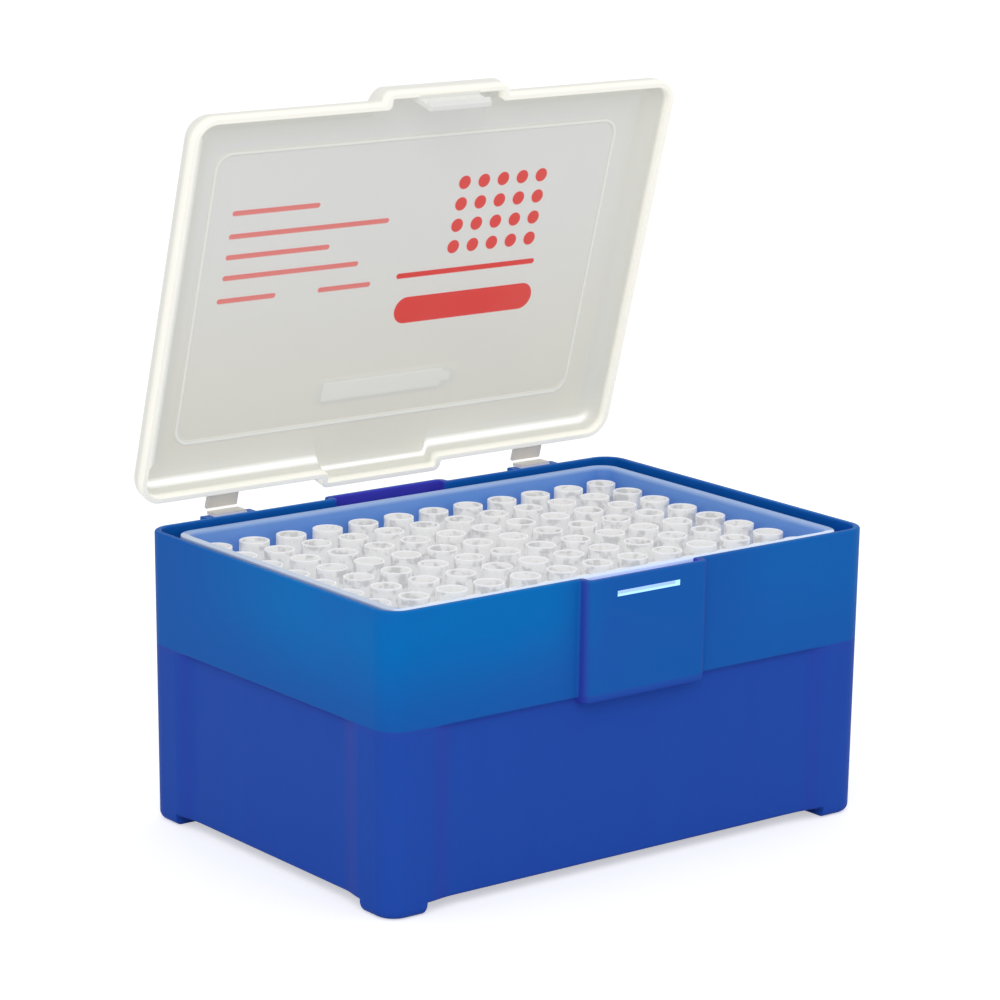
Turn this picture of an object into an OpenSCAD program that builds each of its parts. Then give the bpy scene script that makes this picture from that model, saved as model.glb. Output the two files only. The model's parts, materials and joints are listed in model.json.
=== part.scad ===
// Hinged box of pipette tips: a thin-walled base with corner feet, a rack insert that
// carries a grid of tips, and a shallow lid on two film hinges with a snap latch.
// Frame: origin on the ground under the middle of the base, +X along the long side,
// -Y towards the latch, +Z up. Millimetres.

/* [Tip grid] */
// Spacing of the tips in both directions
pitch = 9; // [7.5:0.1:11]
// Tips along the long side
columns = 12; // [11:1:14]
// Tips along the short side
rows = 8; // [6:1:10]

/* [Tips] */
// Length of a tip from its mouth to its point
tip_length = 51; // [42:0.5:62]
// Outer radius of the collar at the mouth
tip_collar_radius = 3.1; // [2.9:0.05:3.3]
// Outer radius of the body just under the collar
tip_body_radius = 2.45; // [2.3:0.05:2.6]
// How much slimmer the body is at the waist, where the taper steepens
tip_waist_taper = 0.7; // [0.4:0.05:1.1]
// Height of the waist above the point
tip_waist_height = 21.5; // [14:0.5:26]
// Outer radius at the point
tip_point_radius = 0.42; // [0.35:0.01:0.6]
// Radius of the socket that a pipette's nozzle enters
tip_socket_radius = 2.6; // [2.5:0.05:2.7]
// Length of the cylindrical part of the socket
tip_socket_length = 4; // [3:0.5:6]
// Wall of the tip's body
tip_wall = 0.4; // [0.3:0.05:0.5]
// Radius of the bore at the point
tip_orifice_radius = 0.2; // [0.15:0.01:0.25]

/* [Base] */
// Distance from the outermost tip cells to the outside of the rim at each end
end_margin = 6.2; // [5.6:0.1:8]
// Distance from the outermost tip cells to the outside of the rim at the front and rear
side_margin = 5.5; // [5:0.1:8]
// Outer corner radius at the rim
corner_radius = 5.2; // [4.2:0.1:10]
// Wall of the base
wall = 1.4; // [1:0.1:1.8]
// Floor of the base
floor_thickness = 1.4; // [1:0.1:2.5]
// How much each side leans in from the rim to the ground
draft = 0.65; // [0:0.05:1]
// Height of the feet under the floor
foot_height = 2; // [1:0.5:5]
// Rounding of the feet where they meet the ground
foot_round = 1.6; // [0.5:0.1:2]
// Gap between the points of the tips and the floor
point_clearance = 2.4; // [1:0.1:6]
// Height of the rim above the mouths of the tips
rim_over_tips = 3.2; // [2:0.1:6]

/* [Side panels] */
// Depth by which the lower side panels are set back
panel_recess = 1.1; // [0.6:0.1:1.3]
// Distance from the rim down to the top of the set-back panels
panel_drop = 23.4; // [18:0.1:26]
// Width of the corner columns that end in the feet
column_width = 9.8; // [8:0.2:12]

/* [Latch] */
// Width of the middle bulges, front and rear
bulge_width = 30.5; // [24:0.5:36]
// How far the bulges stand out
bulge_out = 2.3; // [2:0.1:3]
// How far the bulges reach below the top of the set-back panels
bulge_below_panel = 1; // [0:0.5:3]
// Rounding of the bulges' upright edges
bulge_radius = 1.6; // [1.5:0.1:2]
// Rounding of the pockets' upright edges inside the bulges
pocket_radius = 0.8; // [0.6:0.1:1.5]
// Width of the latch slot
slot_width = 15.6; // [12:0.2:20]
// Height of the latch slot
slot_height = 1.1; // [0.9:0.1:1.6]
// Distance from the rim down to the middle of the latch slot
slot_drop = 3.3; // [1.8:0.1:4]
// Play between the latch tongue and the slot at each end
tongue_end_play = 0.15; // [0.1:0.05:0.4]
// Thickness of the latch tongue
tongue_thickness = 1; // [0.7:0.1:1.3]
// Gap between the latch tongue and the wall that it hooks behind
tongue_gap = 0.2; // [0.15:0.05:0.4]
// How far the hook reaches into the slot
hook_reach = 0.45; // [0.3:0.05:0.7]
// Play above and below the hook in the slot
hook_play = 0.15; // [0.1:0.05:0.3]

/* [Rack insert] */
// Distance from the outermost tip cells to the outside of the rack's lip
lip_margin = 2; // [1.5:0.1:3]
// Distance from the rim down to the top of the rack
rack_drop = 0.9; // [0.5:0.1:2]
// Outer corner radius of the rack's lip
rack_radius = 4.5; // [3:0.5:6]
// Thickness of the rack's lip and foot flange
rack_flange = 1.2; // [0.8:0.1:1.6]
// Side wall of the rack
rack_wall = 1.2; // [0.8:0.1:1.5]
// Thickness of the perforated deck
deck_thickness = 1.5; // [1:0.1:2.5]
// Height of the tips' collars above the deck
collar_height = 9.8; // [7:0.2:12]
// Radial play between a tip's body and its hole in the deck
hole_play = 0.25; // [0.15:0.05:0.3]
// Play between the rack's foot flange and the base's wall
rack_play = 0.3; // [0.2:0.05:0.4]

/* [Lid] */
// Depth of the lid from its free edge to its outer face
lid_depth = 6.8; // [6:0.1:9]
// Wall of the lid
lid_wall = 1.3; // [1:0.1:1.5]
// Radius of the rounding between the lid's skirt and its panel
lid_round = 5.1; // [4:0.1:6]
// Radius of the same rounding on the lid's bulges
lid_bulge_round = 3.6; // [2.5:0.1:5]
// Gap between the closed lid and the rim
lid_gap = 0.1; // [0.05:0.05:0.3]
// Distance from the lid's outline to the stiffening bead
bead_inset = 9.4; // [8:0.1:12]
// Width of the stiffening bead
bead_width = 1; // [0.5:0.1:1.5]
// Height of the stiffening bead
bead_height = 0.35; // [0.2:0.05:0.8]
// Outer corner radius of the stiffening bead
bead_radius = 4; // [3:0.5:6]
// How far the lid stands open, 0 being closed
lid_open = 74.6; // [0:0.1:180]

/* [Hinges] */
// Distance from each end of the base to the middle of a hinge
hinge_end_distance = 20.8; // [18:0.1:24]
// Width of the hinge straps
strap_width = 7.5; // [5:0.5:10]
// Thickness of the hinge straps
strap_thickness = 0.7; // [0.5:0.1:0.8]
// Distance from the rear wall out to the hinge line
hinge_out = 3.4; // [3:0.1:5]
// Height of the hinge line above the rim
hinge_rise = 0.7; // [0.6:0.05:1]
// Half of the gap between the straps, where the film bends
film_gap = 0.15; // [0.1:0.05:0.25]
// Width of the lugs beside each hinge
lug_width = 2; // [1.5:0.1:3]
// How far the lugs stand out from the rear wall
lug_out = 2.3; // [1.5:0.1:2.6]
// Height of the lugs
lug_height = 6.5; // [4:0.5:9]
// Width of the clip block between the lugs
clip_width = 8; // [6:0.5:10]
// Play around the clip block
clip_play = 0.05; // [0.05:0.05:0.2]
// Height of the clip block
clip_height = 5; // [3:0.5:8]

/* [Hidden] */
$fn = 48;
past = 1; // how far a cut runs past the surface that it opens
arc_steps = 8; // straight steps in a quarter round
grain = 0.001; // sizes that follow the lean are kept to this
least_turn = 0.1; // what the lid's rounding leaves of the corner radius
grid_length = columns * pitch;
grid_width = rows * pitch;
box_length = grid_length + 2 * end_margin;
box_width = grid_width + 2 * side_margin;
floor_top = foot_height + floor_thickness;
point_z = floor_top + point_clearance;
mouth_z = point_z + tip_length;
rim_z = mouth_z + rim_over_tips;
lean = draft / rim_z; // inward lean for each millimetre of height
panel_top = rim_z - panel_drop;
ledge_z = panel_top + wall;
bulge_z = panel_top - bulge_below_panel;
slot_z = rim_z - slot_drop;
deck_top = mouth_z - collar_height;
deck_bottom = deck_top - deck_thickness;
rack_top = rim_z - rack_drop;
lid_z = rim_z + lid_gap;
lid_top = lid_z + lid_depth;
edge_round = min(lid_round, corner_radius - least_turn);
hinge_x = box_length / 2 - hinge_end_distance;
hinge_y = box_width / 2 + hinge_out;
hinge_z = rim_z + hinge_rise;

function column_name(c) = str("tips_column_", c < 10 ? "0" : "", c);

// Inward lean of the base's outside at height z, measured from the rim.
function lean_at(z) = round((rim_z - z) * lean / grain) * grain;

// Half section of an upright block, as [radius, height] points, that leans by the draft.
function leaning_profile(rim_radius, z0, z1) = [
  [0, z0], [rim_radius - lean_at(z0), z0], [rim_radius - lean_at(z1), z1], [0, z1]];

// The same section with its lower outer edge rounded.
function rounded_foot_profile(rim_radius, z0, z1, round) = concat(
  [[0, z0]],
  [for (i = [0 : arc_steps]) let (a = 90 * i / arc_steps)
    [rim_radius - lean_at(z0) - round * (1 - sin(a)), z0 + round * (1 - cos(a))]],
  [[rim_radius - lean_at(z1), z1], [0, z1]]);

// Half section of the lid: a short upright skirt, then a quarter round up to the panel.
function lid_profile(edge_radius, z0, z1, round) = concat(
  [[0, z0], [edge_radius, z0]],
  [for (i = [0 : arc_steps]) let (a = 90 * i / arc_steps)
    [edge_radius - round * (1 - cos(a)), z1 - round * (1 - sin(a))]],
  [[0, z1]]);

// Block with four rounded upright corners whose section follows a profile all round.
// The profile's radii are measured from the corners' centre lines.
module swept_block(length, width, radius, profile) {
  cx = length / 2 - radius;
  cy = width / 2 - radius;
  for (quarter = [0 : 3])
    translate([(quarter == 0 || quarter == 3 ? 1 : -1) * cx, (quarter < 2 ? 1 : -1) * cy, 0])
      rotate([0, 0, 90 * quarter]) rotate_extrude(angle = 90) polygon(profile);
  rotate([90, 0, 0]) linear_extrude(2 * cy, center = true) slab_section(cx, profile);
  rotate([90, 0, 90]) linear_extrude(2 * cx, center = true) slab_section(cy, profile);
}

// Full section of a block: the profile on both sides of a middle part of a given half width.
module slab_section(half, profile) {
  outline = concat(
    [for (p = profile) [half + p[0], p[1]]],
    [for (i = [len(profile) - 1 : -1 : 0]) [-half - profile[i][0], profile[i][1]]]);
  polygon(outline);
}

// Plate with rounded corners between two heights.
module rounded_plate(length, width, radius, z0, z1) {
  swept_block(length, width, radius, [[0, z0], [radius, z0], [radius, z1], [0, z1]]);
}

// Four upright blocks that bound the corner columns, at a given size.
module corner_blocks(size, z0, z1) {
  for (sx = [-1, 1], sy = [-1, 1])
    translate([
      sx * (box_length / 2 - size / 2 + past / 2),
      sy * (box_width / 2 - size / 2 + past / 2),
      (z0 + z1) / 2])
      cube([size + past, size + past, z1 - z0], center = true);
}

// ---------------------------------------------------------------- base

// Outer body: upper band, corner columns with rounded feet, and set-back panels.
module base_outside() {
  swept_block(box_length, box_width, corner_radius,
    leaning_profile(corner_radius, panel_top, rim_z));
  intersection() {
    swept_block(box_length, box_width, corner_radius,
      rounded_foot_profile(corner_radius, 0, panel_top, foot_round));
    corner_blocks(column_width, -past, panel_top + past);
  }
  swept_block(box_length - 2 * panel_recess, box_width - 2 * panel_recess,
    corner_radius - panel_recess,
    leaning_profile(corner_radius - panel_recess, foot_height, panel_top + past));
  swept_block(bulge_width, box_width + 2 * bulge_out, bulge_radius,
    leaning_profile(bulge_radius, bulge_z, rim_z));
}

// Hollow of the base: it steps in at the ledge that the rack stands on.
module base_inside() {
  swept_block(box_length - 2 * wall, box_width - 2 * wall, corner_radius - wall,
    leaning_profile(corner_radius - wall, ledge_z, rim_z + past));
  intersection() {
    swept_block(box_length - 2 * wall, box_width - 2 * wall, corner_radius - wall,
      leaning_profile(corner_radius - wall, floor_thickness, ledge_z));
    corner_blocks(column_width - wall, 0, ledge_z + past);
  }
  inset = panel_recess + wall;
  swept_block(box_length - 2 * inset, box_width - 2 * inset, corner_radius - inset,
    leaning_profile(corner_radius - inset, floor_top, ledge_z + past));
  swept_block(bulge_width - 2 * wall, box_width + 2 * bulge_out - 2 * wall, pocket_radius,
    leaning_profile(pocket_radius, bulge_z + wall, rim_z + past));
}

// Gusseted lug on the rear wall beside a hinge.
module hinge_lug() {
  root = box_width / 2 - wall / 2;
  tip = box_width / 2 + lug_out;
  rotate([90, 0, 90]) linear_extrude(lug_width, center = true)
    polygon([[root, rim_z], [tip, rim_z], [tip, rim_z - lug_height + lug_out],
      [root, rim_z - lug_height - wall / 2]]);
}

module box_base() {
  lug_x = clip_width / 2 + clip_play + lug_width / 2;
  color([0.12, 0.36, 0.72]) {
    difference() {
      base_outside();
      base_inside();
      translate([0, -box_width / 2 - bulge_out, slot_z])
        cube([slot_width, 4 * wall, slot_height], center = true);
    }
    for (side = [-1, 1], s = [-1, 1])
      translate([side * hinge_x + s * lug_x, 0, 0]) hinge_lug();
  }
}

// ---------------------------------------------------------------- rack

module rack_insert() {
  foot_inset = lean_at(ledge_z) + wall + rack_play;
  inner_radius = rack_radius - lip_margin;
  color([0.93, 0.94, 0.96]) difference() {
    union() {
      rounded_plate(grid_length + 2 * lip_margin, grid_width + 2 * lip_margin,
        rack_radius, rack_top - rack_flange, rack_top);
      rounded_plate(grid_length + 2 * rack_wall, grid_width + 2 * rack_wall,
        inner_radius + rack_wall, ledge_z, rack_top);
      rounded_plate(box_length - 2 * foot_inset, box_width - 2 * foot_inset,
        corner_radius - foot_inset, ledge_z, ledge_z + rack_flange);
    }
    rounded_plate(grid_length, grid_width, inner_radius, deck_top, rack_top + past);
    rounded_plate(grid_length, grid_width, inner_radius, ledge_z - past, deck_bottom);
    for (c = [1 : columns], r = [1 : rows])
      at_cell(c, r) translate([0, 0, deck_bottom - past])
        cylinder(h = deck_thickness + 2 * past, r = tip_body_radius + hole_play);
  }
}

// ---------------------------------------------------------------- tips

// Middle of the cell in a column, counted from the left, and a row, from the rear.
module at_cell(c, r) {
  translate([(c - (columns + 1) / 2) * pitch, ((rows + 1) / 2 - r) * pitch, 0]) children();
}

// One tip, mouth up: a collar that rests on the deck, and a hollow tapering body.
module tip() {
  waist_z = point_z + tip_waist_height;
  waist_radius = tip_body_radius - tip_waist_taper;
  rotate_extrude() polygon([
    [tip_socket_radius, mouth_z],
    [tip_collar_radius, mouth_z],
    [tip_collar_radius, deck_top],
    [tip_body_radius, deck_top],
    [waist_radius, waist_z],
    [tip_point_radius, point_z],
    [tip_orifice_radius, point_z],
    [waist_radius - tip_wall, waist_z],
    [tip_body_radius - tip_wall, deck_top],
    [tip_socket_radius, mouth_z - tip_socket_length]]);
}

// The tips that a multichannel pipette picks up together.
module tips_column(c) {
  color([0.88, 0.88, 0.86]) for (r = [1 : rows]) at_cell(c, r) tip();
}

// ---------------------------------------------------------------- hinges

// Clip block between two lugs, with the strap that runs out to the hinge line.
module hinge_anchor(x) {
  front = box_width / 2 + clip_play;
  strap_top = hinge_z - film_gap;
  color([0.80, 0.82, 0.84]) translate([x, 0, 0]) {
    translate([-clip_width / 2, front, rim_z - clip_height])
      cube([clip_width, lug_out - clip_play, strap_top - strap_thickness / 2 - rim_z + clip_height]);
    translate([-strap_width / 2, front + film_gap, strap_top - strap_thickness])
      cube([strap_width, hinge_out - clip_play - 2 * film_gap, strap_thickness]);
  }
}

module hinge_anchor_left() {
  hinge_anchor(-hinge_x);
}

module hinge_anchor_right() {
  hinge_anchor(hinge_x);
}

// ---------------------------------------------------------------- lid

// Solid form of the lid, closed, grown inwards by an inset: its tray and its bulges.
module lid_form(inset, z0, z1) {
  swept_block(box_length - 2 * inset, box_width - 2 * inset, corner_radius - inset,
    lid_profile(corner_radius - inset, z0, z1, edge_round - inset));
  bulge_span = box_width / 2 + bulge_out - inset;
  intersection() {
    rotate([90, 0, 90]) linear_extrude(bulge_width - 2 * inset, center = true)
      slab_section(bulge_span - corner_radius,
        lid_profile(corner_radius, z0, z1, lid_bulge_round - inset));
    rounded_plate(bulge_width - 2 * inset, 2 * bulge_span, bulge_radius - inset, z0, z1);
  }
}

// Raised bead on the inner face of the panel.
module panel_bead() {
  length = box_length - 2 * bead_inset;
  width = box_width - 2 * bead_inset;
  difference() {
    rounded_plate(length, width, bead_radius,
      lid_top - lid_wall - bead_height, lid_top - lid_wall / 2);
    rounded_plate(length - 2 * bead_width, width - 2 * bead_width, bead_radius - bead_width,
      lid_top - lid_wall - bead_height - past, lid_top - lid_wall / 2);
  }
}

// Height of the middle of the lid's wall over the bulge, at a distance y from the middle.
function bulge_wall_z(y) = let (
    centre = box_width / 2 + bulge_out - lid_bulge_round,
    rise = sqrt(pow(lid_bulge_round - lid_wall / 2, 2) - pow(max(0, y - centre), 2)))
  round((lid_top - lid_bulge_round + rise) / grain) * grain;

// Tongue that hangs from the front bulge and hooks into the slot.
module latch_tongue() {
  wall_face = box_width / 2 + bulge_out - wall;
  outer = wall_face - tongue_gap;
  hook = wall_face + hook_reach;
  hook_half = slot_height / 2 - hook_play;
  width = slot_width - 2 * tongue_end_play;
  rotate([90, 0, -90]) linear_extrude(width, center = true) polygon([
    [outer - tongue_thickness, bulge_wall_z(outer - tongue_thickness)],
    [outer - tongue_thickness, slot_z - 2 * hook_half],
    [outer, slot_z - 2 * hook_half],
    [outer, slot_z - hook_half],
    [hook, slot_z],
    [hook, slot_z + hook_half],
    [outer, slot_z + hook_half],
    [outer, lid_z],
    [wall_face + wall - lid_wall / 2, lid_z],
    [wall_face + wall - lid_wall / 2, lid_z + tongue_thickness],
    [outer, lid_z + 2 * tongue_thickness],
    [outer, bulge_wall_z(outer)]]);
}

// Strap that joins the lid's rear skirt to the hinge line.
module lid_strap(x) {
  root = box_width / 2 - lid_wall / 2;
  translate([x - strap_width / 2, root, hinge_z + film_gap])
    cube([strap_width, hinge_y - film_gap - root, strap_thickness]);
}

module lid_closed() {
  difference() {
    lid_form(0, lid_z, lid_top);
    lid_form(lid_wall, lid_z - past, lid_top - lid_wall);
  }
  panel_bead();
  latch_tongue();
  lid_strap(-hinge_x);
  lid_strap(hinge_x);
}

module lid() {
  color([0.85, 0.86, 0.84])
    translate([0, hinge_y, hinge_z]) rotate([-lid_open, 0, 0]) translate([0, -hinge_y, -hinge_z])
      lid_closed();
}

// ---------------------------------------------------------------- nodes

box_base();
rack_insert();
hinge_anchor_left();
hinge_anchor_right();
lid();
for (c = [1 : columns]) tips_column(c);
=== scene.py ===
import json
import math

import bpy
import numpy as np
from mathutils import Matrix, Vector


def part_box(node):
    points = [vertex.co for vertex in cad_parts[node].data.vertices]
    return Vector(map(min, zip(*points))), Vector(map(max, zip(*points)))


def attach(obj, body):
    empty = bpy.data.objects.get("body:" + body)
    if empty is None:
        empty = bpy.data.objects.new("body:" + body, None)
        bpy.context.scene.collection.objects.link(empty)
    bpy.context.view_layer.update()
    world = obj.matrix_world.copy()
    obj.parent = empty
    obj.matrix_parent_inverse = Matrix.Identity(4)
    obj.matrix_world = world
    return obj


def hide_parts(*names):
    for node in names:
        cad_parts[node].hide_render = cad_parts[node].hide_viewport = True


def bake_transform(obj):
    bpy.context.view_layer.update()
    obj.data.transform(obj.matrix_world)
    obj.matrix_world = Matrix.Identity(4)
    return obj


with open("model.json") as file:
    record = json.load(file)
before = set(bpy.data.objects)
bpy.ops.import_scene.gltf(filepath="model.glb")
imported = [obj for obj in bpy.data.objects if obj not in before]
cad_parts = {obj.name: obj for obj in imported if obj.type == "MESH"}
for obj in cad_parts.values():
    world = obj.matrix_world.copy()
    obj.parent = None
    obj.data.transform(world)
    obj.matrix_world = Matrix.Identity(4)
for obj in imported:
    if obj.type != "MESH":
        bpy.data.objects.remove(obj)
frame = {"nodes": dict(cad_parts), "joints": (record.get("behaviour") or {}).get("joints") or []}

bl_info = {
    "name": "Box of Pipette Tips",
    "version": (1, 0, 0),
    "blender": (4, 5, 0),
    "location": "View3D > Sidebar > Tip Box",
    "description": "Builds the visual model of a hinged box of pipette tips round its packed frame",
    "category": "Object",
}

MM = 0.001
BASE_LOW, BASE_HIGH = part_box("box_base")
RACK_LOW, RACK_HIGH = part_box("rack_insert")
TIP_LOW, TIP_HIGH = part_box("tips_column_01")
COLUMNS = sorted(n for n in frame["nodes"] if n.startswith("tips_column_"))
LID_JOINT = frame["joints"][0]
HINGE_Y, HINGE_Z = LID_JOINT["pos_m"][1:]
OPEN_ANGLE = math.radians(-LID_JOINT["range_deg"][0])
RIM = BASE_HIGH.z
HALF_LENGTH = BASE_HIGH.x
MERGE = 1e-6  # points nearer than this are one point
NEAR = 1e-7  # slack when places are compared
SHARP_ANGLE = math.radians(42)  # edges past this angle are shaded as edges
QUARTER = np.pi / 2
STRAP_ROUND = 0.12 * MM
BESIDE_SLOT = 0.15 * MM  # from the latch slot's edges to the places next to them
# Rounding at the top and at the foot of the bulge's step
BULGE_STEP, BULGE_STEP_INSIDE = (1.5 * MM, 0.5 * MM), (0.8 * MM, 0.6 * MM)
LID_STEP_INSIDE = (0.4 * MM, 0.8 * MM)
PANEL_STEP = (0.4 * MM, 0.5 * MM)  # the same for the panels' step
OUTSIDE, INSIDE, SLOT = range(3)  # places of the base's materials in its list
SIDES = ((-1, "left"), (1, "right"))


# ---------------------------------------------------------------- settings


def length(label, millimetres, words):
    """A length setting, given in millimetres and kept in metres."""
    return bpy.props.FloatProperty(name=label, description=words, default=millimetres * MM,
                                   unit="LENGTH", precision=5)


def share(label, value, words):
    """A setting between 0 and 1."""
    return bpy.props.FloatProperty(name=label, description=words, default=value, min=0.0,
                                   max=1.0, subtype="FACTOR")


def number(label, value, words):
    """A plain number setting, with its unit in its description."""
    return bpy.props.FloatProperty(name=label, description=words, default=value)


def colour(label, value, words):
    """A colour setting, given as display values from 0 to 255 and kept as linear light."""
    return bpy.props.FloatVectorProperty(name=label, description=words, default=linear(value),
                                         size=3, min=0.0, max=1.0, subtype="COLOR")


def linear(display):
    """Linear light of a display colour from 0 to 255, by the sRGB curve."""
    c = np.asarray(display, float) / 255.0
    return tuple(float(v) for v in np.where(c <= 0.04045, c / 12.92, ((c + 0.055) / 1.055) ** 2.4))


class TIPBOX_PG_base(bpy.types.PropertyGroup):
    """Sizes and colours of the base"""

    wall: length("Wall", 1.4, "Wall of the base")
    radius: length("Corner Radius", 5.2, "Outer corner radius at the rim")
    draft: length("Lean", 0.65, "How far the sides lean in from the rim to the ground")
    foot: length("Foot Height", 2.0, "Height of the feet under the floor")
    foot_round: length("Foot Rounding", 1.6, "Rounding of the feet")
    column: length("Column Width", 9.8, "Width of the corner columns")
    recess: length("Panel Recess", 1.1, "Depth of the set-back lower panels")
    flare: length("Column Flare", 7.0, "Width over which a panel rises to its column's face")
    panel_drop: length("Panel Drop", 23.4, "From the rim down to the set-back panels")
    bulge_half: length("Bulge Half Width", 15.25, "Half width of the latch bulge")
    bulge_out: length("Bulge Depth", 2.3, "How far the latch bulge stands out")
    bulge_below: length("Bulge Below Panel", 1.0, "How far the bulge reaches below the band")
    slot_half: length("Slot Half Width", 7.8, "Half width of the latch slot")
    slot_height: length("Slot Height", 1.1, "Height of the latch slot")
    slot_drop: length("Slot Drop", 3.3, "From the rim down to the middle of the slot")
    # Painted light and shade: upper and lower stand for the light inside the box seen through the
    # thin wall, the band painted lighter and the set-back panels deeper; glow is painted light
    # where light shines through the band.
    upper: colour("Upper Blue", (25, 98, 187), "Blue of the band above the set-back panels")
    glow: colour("Glow", (0, 120, 202), "Blue of the band where light comes through it")
    lower: colour("Lower Blue", (38, 80, 181), "Blue of the set-back panels")
    # Painted shade: edge is the violet shade painted on the steps and their fillets.
    edge: colour("Edge Blue", (56, 64, 176), "Blue of the thick edges and fillets")
    rim: colour("Rim Blue", (8, 92, 180), "Blue of the rim and the inside of the band")
    # Painted shade: the colour painted inside the bulges' pockets.
    pocket_shade: colour("Pocket Blue", (68, 68, 200), "Blue of the doubled walls at the bulges")
    # Painted light: the pale glowing colour painted on the latch slot's cut walls.
    slot_light: colour("Slot Light", (186, 228, 248), "Colour of the cut walls of the latch slot")


class TIPBOX_PG_rack(bpy.types.PropertyGroup):
    """Sizes and colours of the rack"""

    lip: length("Lip Thickness", 1.2, "Thickness of the lip and the foot flange")
    lip_margin: length("Lip Margin", 2.0, "From the outermost cells to the outside of the lip")
    wall: length("Wall", 1.2, "Side wall of the rack")
    radius: length("Lip Radius", 4.5, "Outer corner radius of the lip")
    deck: length("Deck Thickness", 1.5, "Thickness of the perforated deck")
    hole: length("Hole Radius", 2.7, "Radius of the holes in the deck")
    pitch: length("Pitch", 9.0, "Spacing of the holes")
    # Painted light and shade: the front lip stays nearly white, the rear lip gets a painted
    # highlight, the far walls are painted with the base's blue light, and the wall behind the latch
    # slot is painted light.
    lip_colour: colour("Lip", (214, 228, 250), "Colour of the lip in front")
    far_lip_highlight: colour("Far Lip", (162, 194, 246), "Colour of the lip at the rear")
    wall_painted_blue: colour("Walls", (98, 154, 234), "Colour of the thin walls beside the base")
    front_wall: colour("Front Wall", (180, 216, 240), "Colour of the wall behind the latch slot")


class TIPBOX_PG_tips(bpy.types.PropertyGroup):
    """Sizes and colours of the tips"""

    rows: bpy.props.IntProperty(name="Tips in a Column",
                                description="Tips side by side in a column", default=8)
    collar: length("Collar Radius", 3.1, "Outer radius of the collar")
    collar_height: length("Collar Height", 9.8, "From the deck up to the mouth")
    socket: length("Socket Radius", 2.6, "Radius of the socket")
    body: length("Body Radius", 2.45, "Radius of the body under the collar")
    waist: length("Waist Radius", 1.75, "Radius where the taper steepens")
    waist_height: length("Waist Height", 21.5, "Height of the waist above the point")
    point: length("Point Radius", 0.42, "Radius at the point")
    orifice: length("Bore Radius", 0.2, "Radius of the bore at the point")
    wall: length("Wall", 0.4, "Wall of the body")
    rib: length("Rib Depth", 0.14, "Depth of the grooves between the collar's ribs")
    natural: colour("Natural", (241, 241, 240), "Colour of the unpigmented plastic")
    speck: colour("Speck", (206, 206, 208), "Colour of the faint specks")


class TIPBOX_PG_lid(bpy.types.PropertyGroup):
    """Sizes and colours of the lid"""

    depth: length("Depth", 6.8, "From the free edge to the outer face")
    wall: length("Wall", 1.3, "Wall of the lid")
    gap: length("Gap", 0.1, "Gap between the closed lid and the rim")
    round: length("Rounding", 5.1, "Rounding between skirt and panel")
    bulge_round: length("Bulge Rounding", 3.6, "The same rounding on the bulges")
    bead_inset: length("Bead Inset", 9.4, "From the outline to the bead")
    bead_width: length("Bead Width", 1.2, "Width of the bead")
    bead_height: length("Bead Height", 0.35, "Height of the bead")
    bead_radius: length("Bead Radius", 4.0, "Corner radius of the bead")
    panel: colour("Panel", (227, 227, 224), "Colour of the thin panel")
    warm: colour("Panel near Hinge", (228, 225, 213), "Colour of the panel towards the hinges")
    # Painted light: the skirt and rounded edges are painted paler for the light gathered in the
    # thick plastic.
    skirt: colour("Skirt", (222, 222, 214), "Colour of the skirt and the rounded edges")
    # Painted light: the free edge is painted cream-white for the light gathered along it.
    cream: colour("Edge Cream", (255, 253, 243), "Colour of the free edge")
    line: colour("Line White", (248, 248, 246), "Colour of the bead and of lines that catch light")
    print_red: colour("Print", (228, 52, 44), "Colour of the printed bars")
    print_pale: colour("Pale Print", (232, 128, 122), "Colour of the thin printed lines")


class TIPBOX_PG_hinges(bpy.types.PropertyGroup):
    """Sizes of the hinges"""

    x: length("Distance from Middle", 39.4, "From the middle of the box to a hinge")
    strap_width: length("Strap Width", 7.5, "Width of a strap")
    strap: length("Strap Thickness", 0.7, "Thickness of a strap")
    film_gap: length("Half Film Gap", 0.15, "Half of the gap that the film bridges")
    film: length("Film Thickness", 0.25, "Thickness of the film")
    lug_width: length("Lug Width", 2.0, "Width of a lug")
    lug_height: length("Lug Height", 6.5, "Height of a lug")
    clip_width: length("Clip Width", 8.0, "Width of the clip block")
    clip_height: length("Clip Height", 5.0, "Height of the clip block")
    play: length("Play", 0.05, "Play round the clip block")
    strap_tint: colour("Strap", (208, 203, 194), "Colour of the straps")
    # Partly the film's milky plastic and partly a painted highlight: the film is painted
    # near-white, and it gets a painted glow.
    film_tint: colour("Film", (252, 252, 250), "Colour of the film")
    clip_tint: colour("Clip", (202, 206, 238), "Colour of the clip blocks")


class TIPBOX_PG_stage(bpy.types.PropertyGroup):
    """Floor, lights and camera"""

    floor_size: length("Floor Size", 6000.0, "Side of the floor")
    key: number("Key", 3.0, "Power of the main softbox in watts")
    fill: number("Fill", 0.8, "Power of the side softbox in watts")
    softbox: length("Softbox Size", 700.0, "Side of each softbox")
    sky: share("Sky", 0.88, "Strength of the even light from all round")
    lens: number("Lens", 135.589, "Focal length in millimetres")
    distance: length("Camera Distance", 761.349, "From the camera to its aim")
    azimuth: number("Azimuth", -37.894, "Camera's angle round the box in degrees")
    elevation: number("Elevation", 13.148, "Camera's angle above the ground in degrees")
    roll: number("Roll", 0.693, "Camera's turn about its own axis in degrees")
    aim_right: length("Aim Right", -1.697, "Aim's shift to the right of the middle")
    aim_up: length("Aim Up", 24.495, "Aim's shift up the view")
    aim_z: length("Aim Height", 40.5, "Height of the unshifted aim")


def half_width(base):
    """Half of the base's width without the bulges."""
    return -BASE_LOW.y - base.bulge_out


# ---------------------------------------------------------------- meshes


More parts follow.
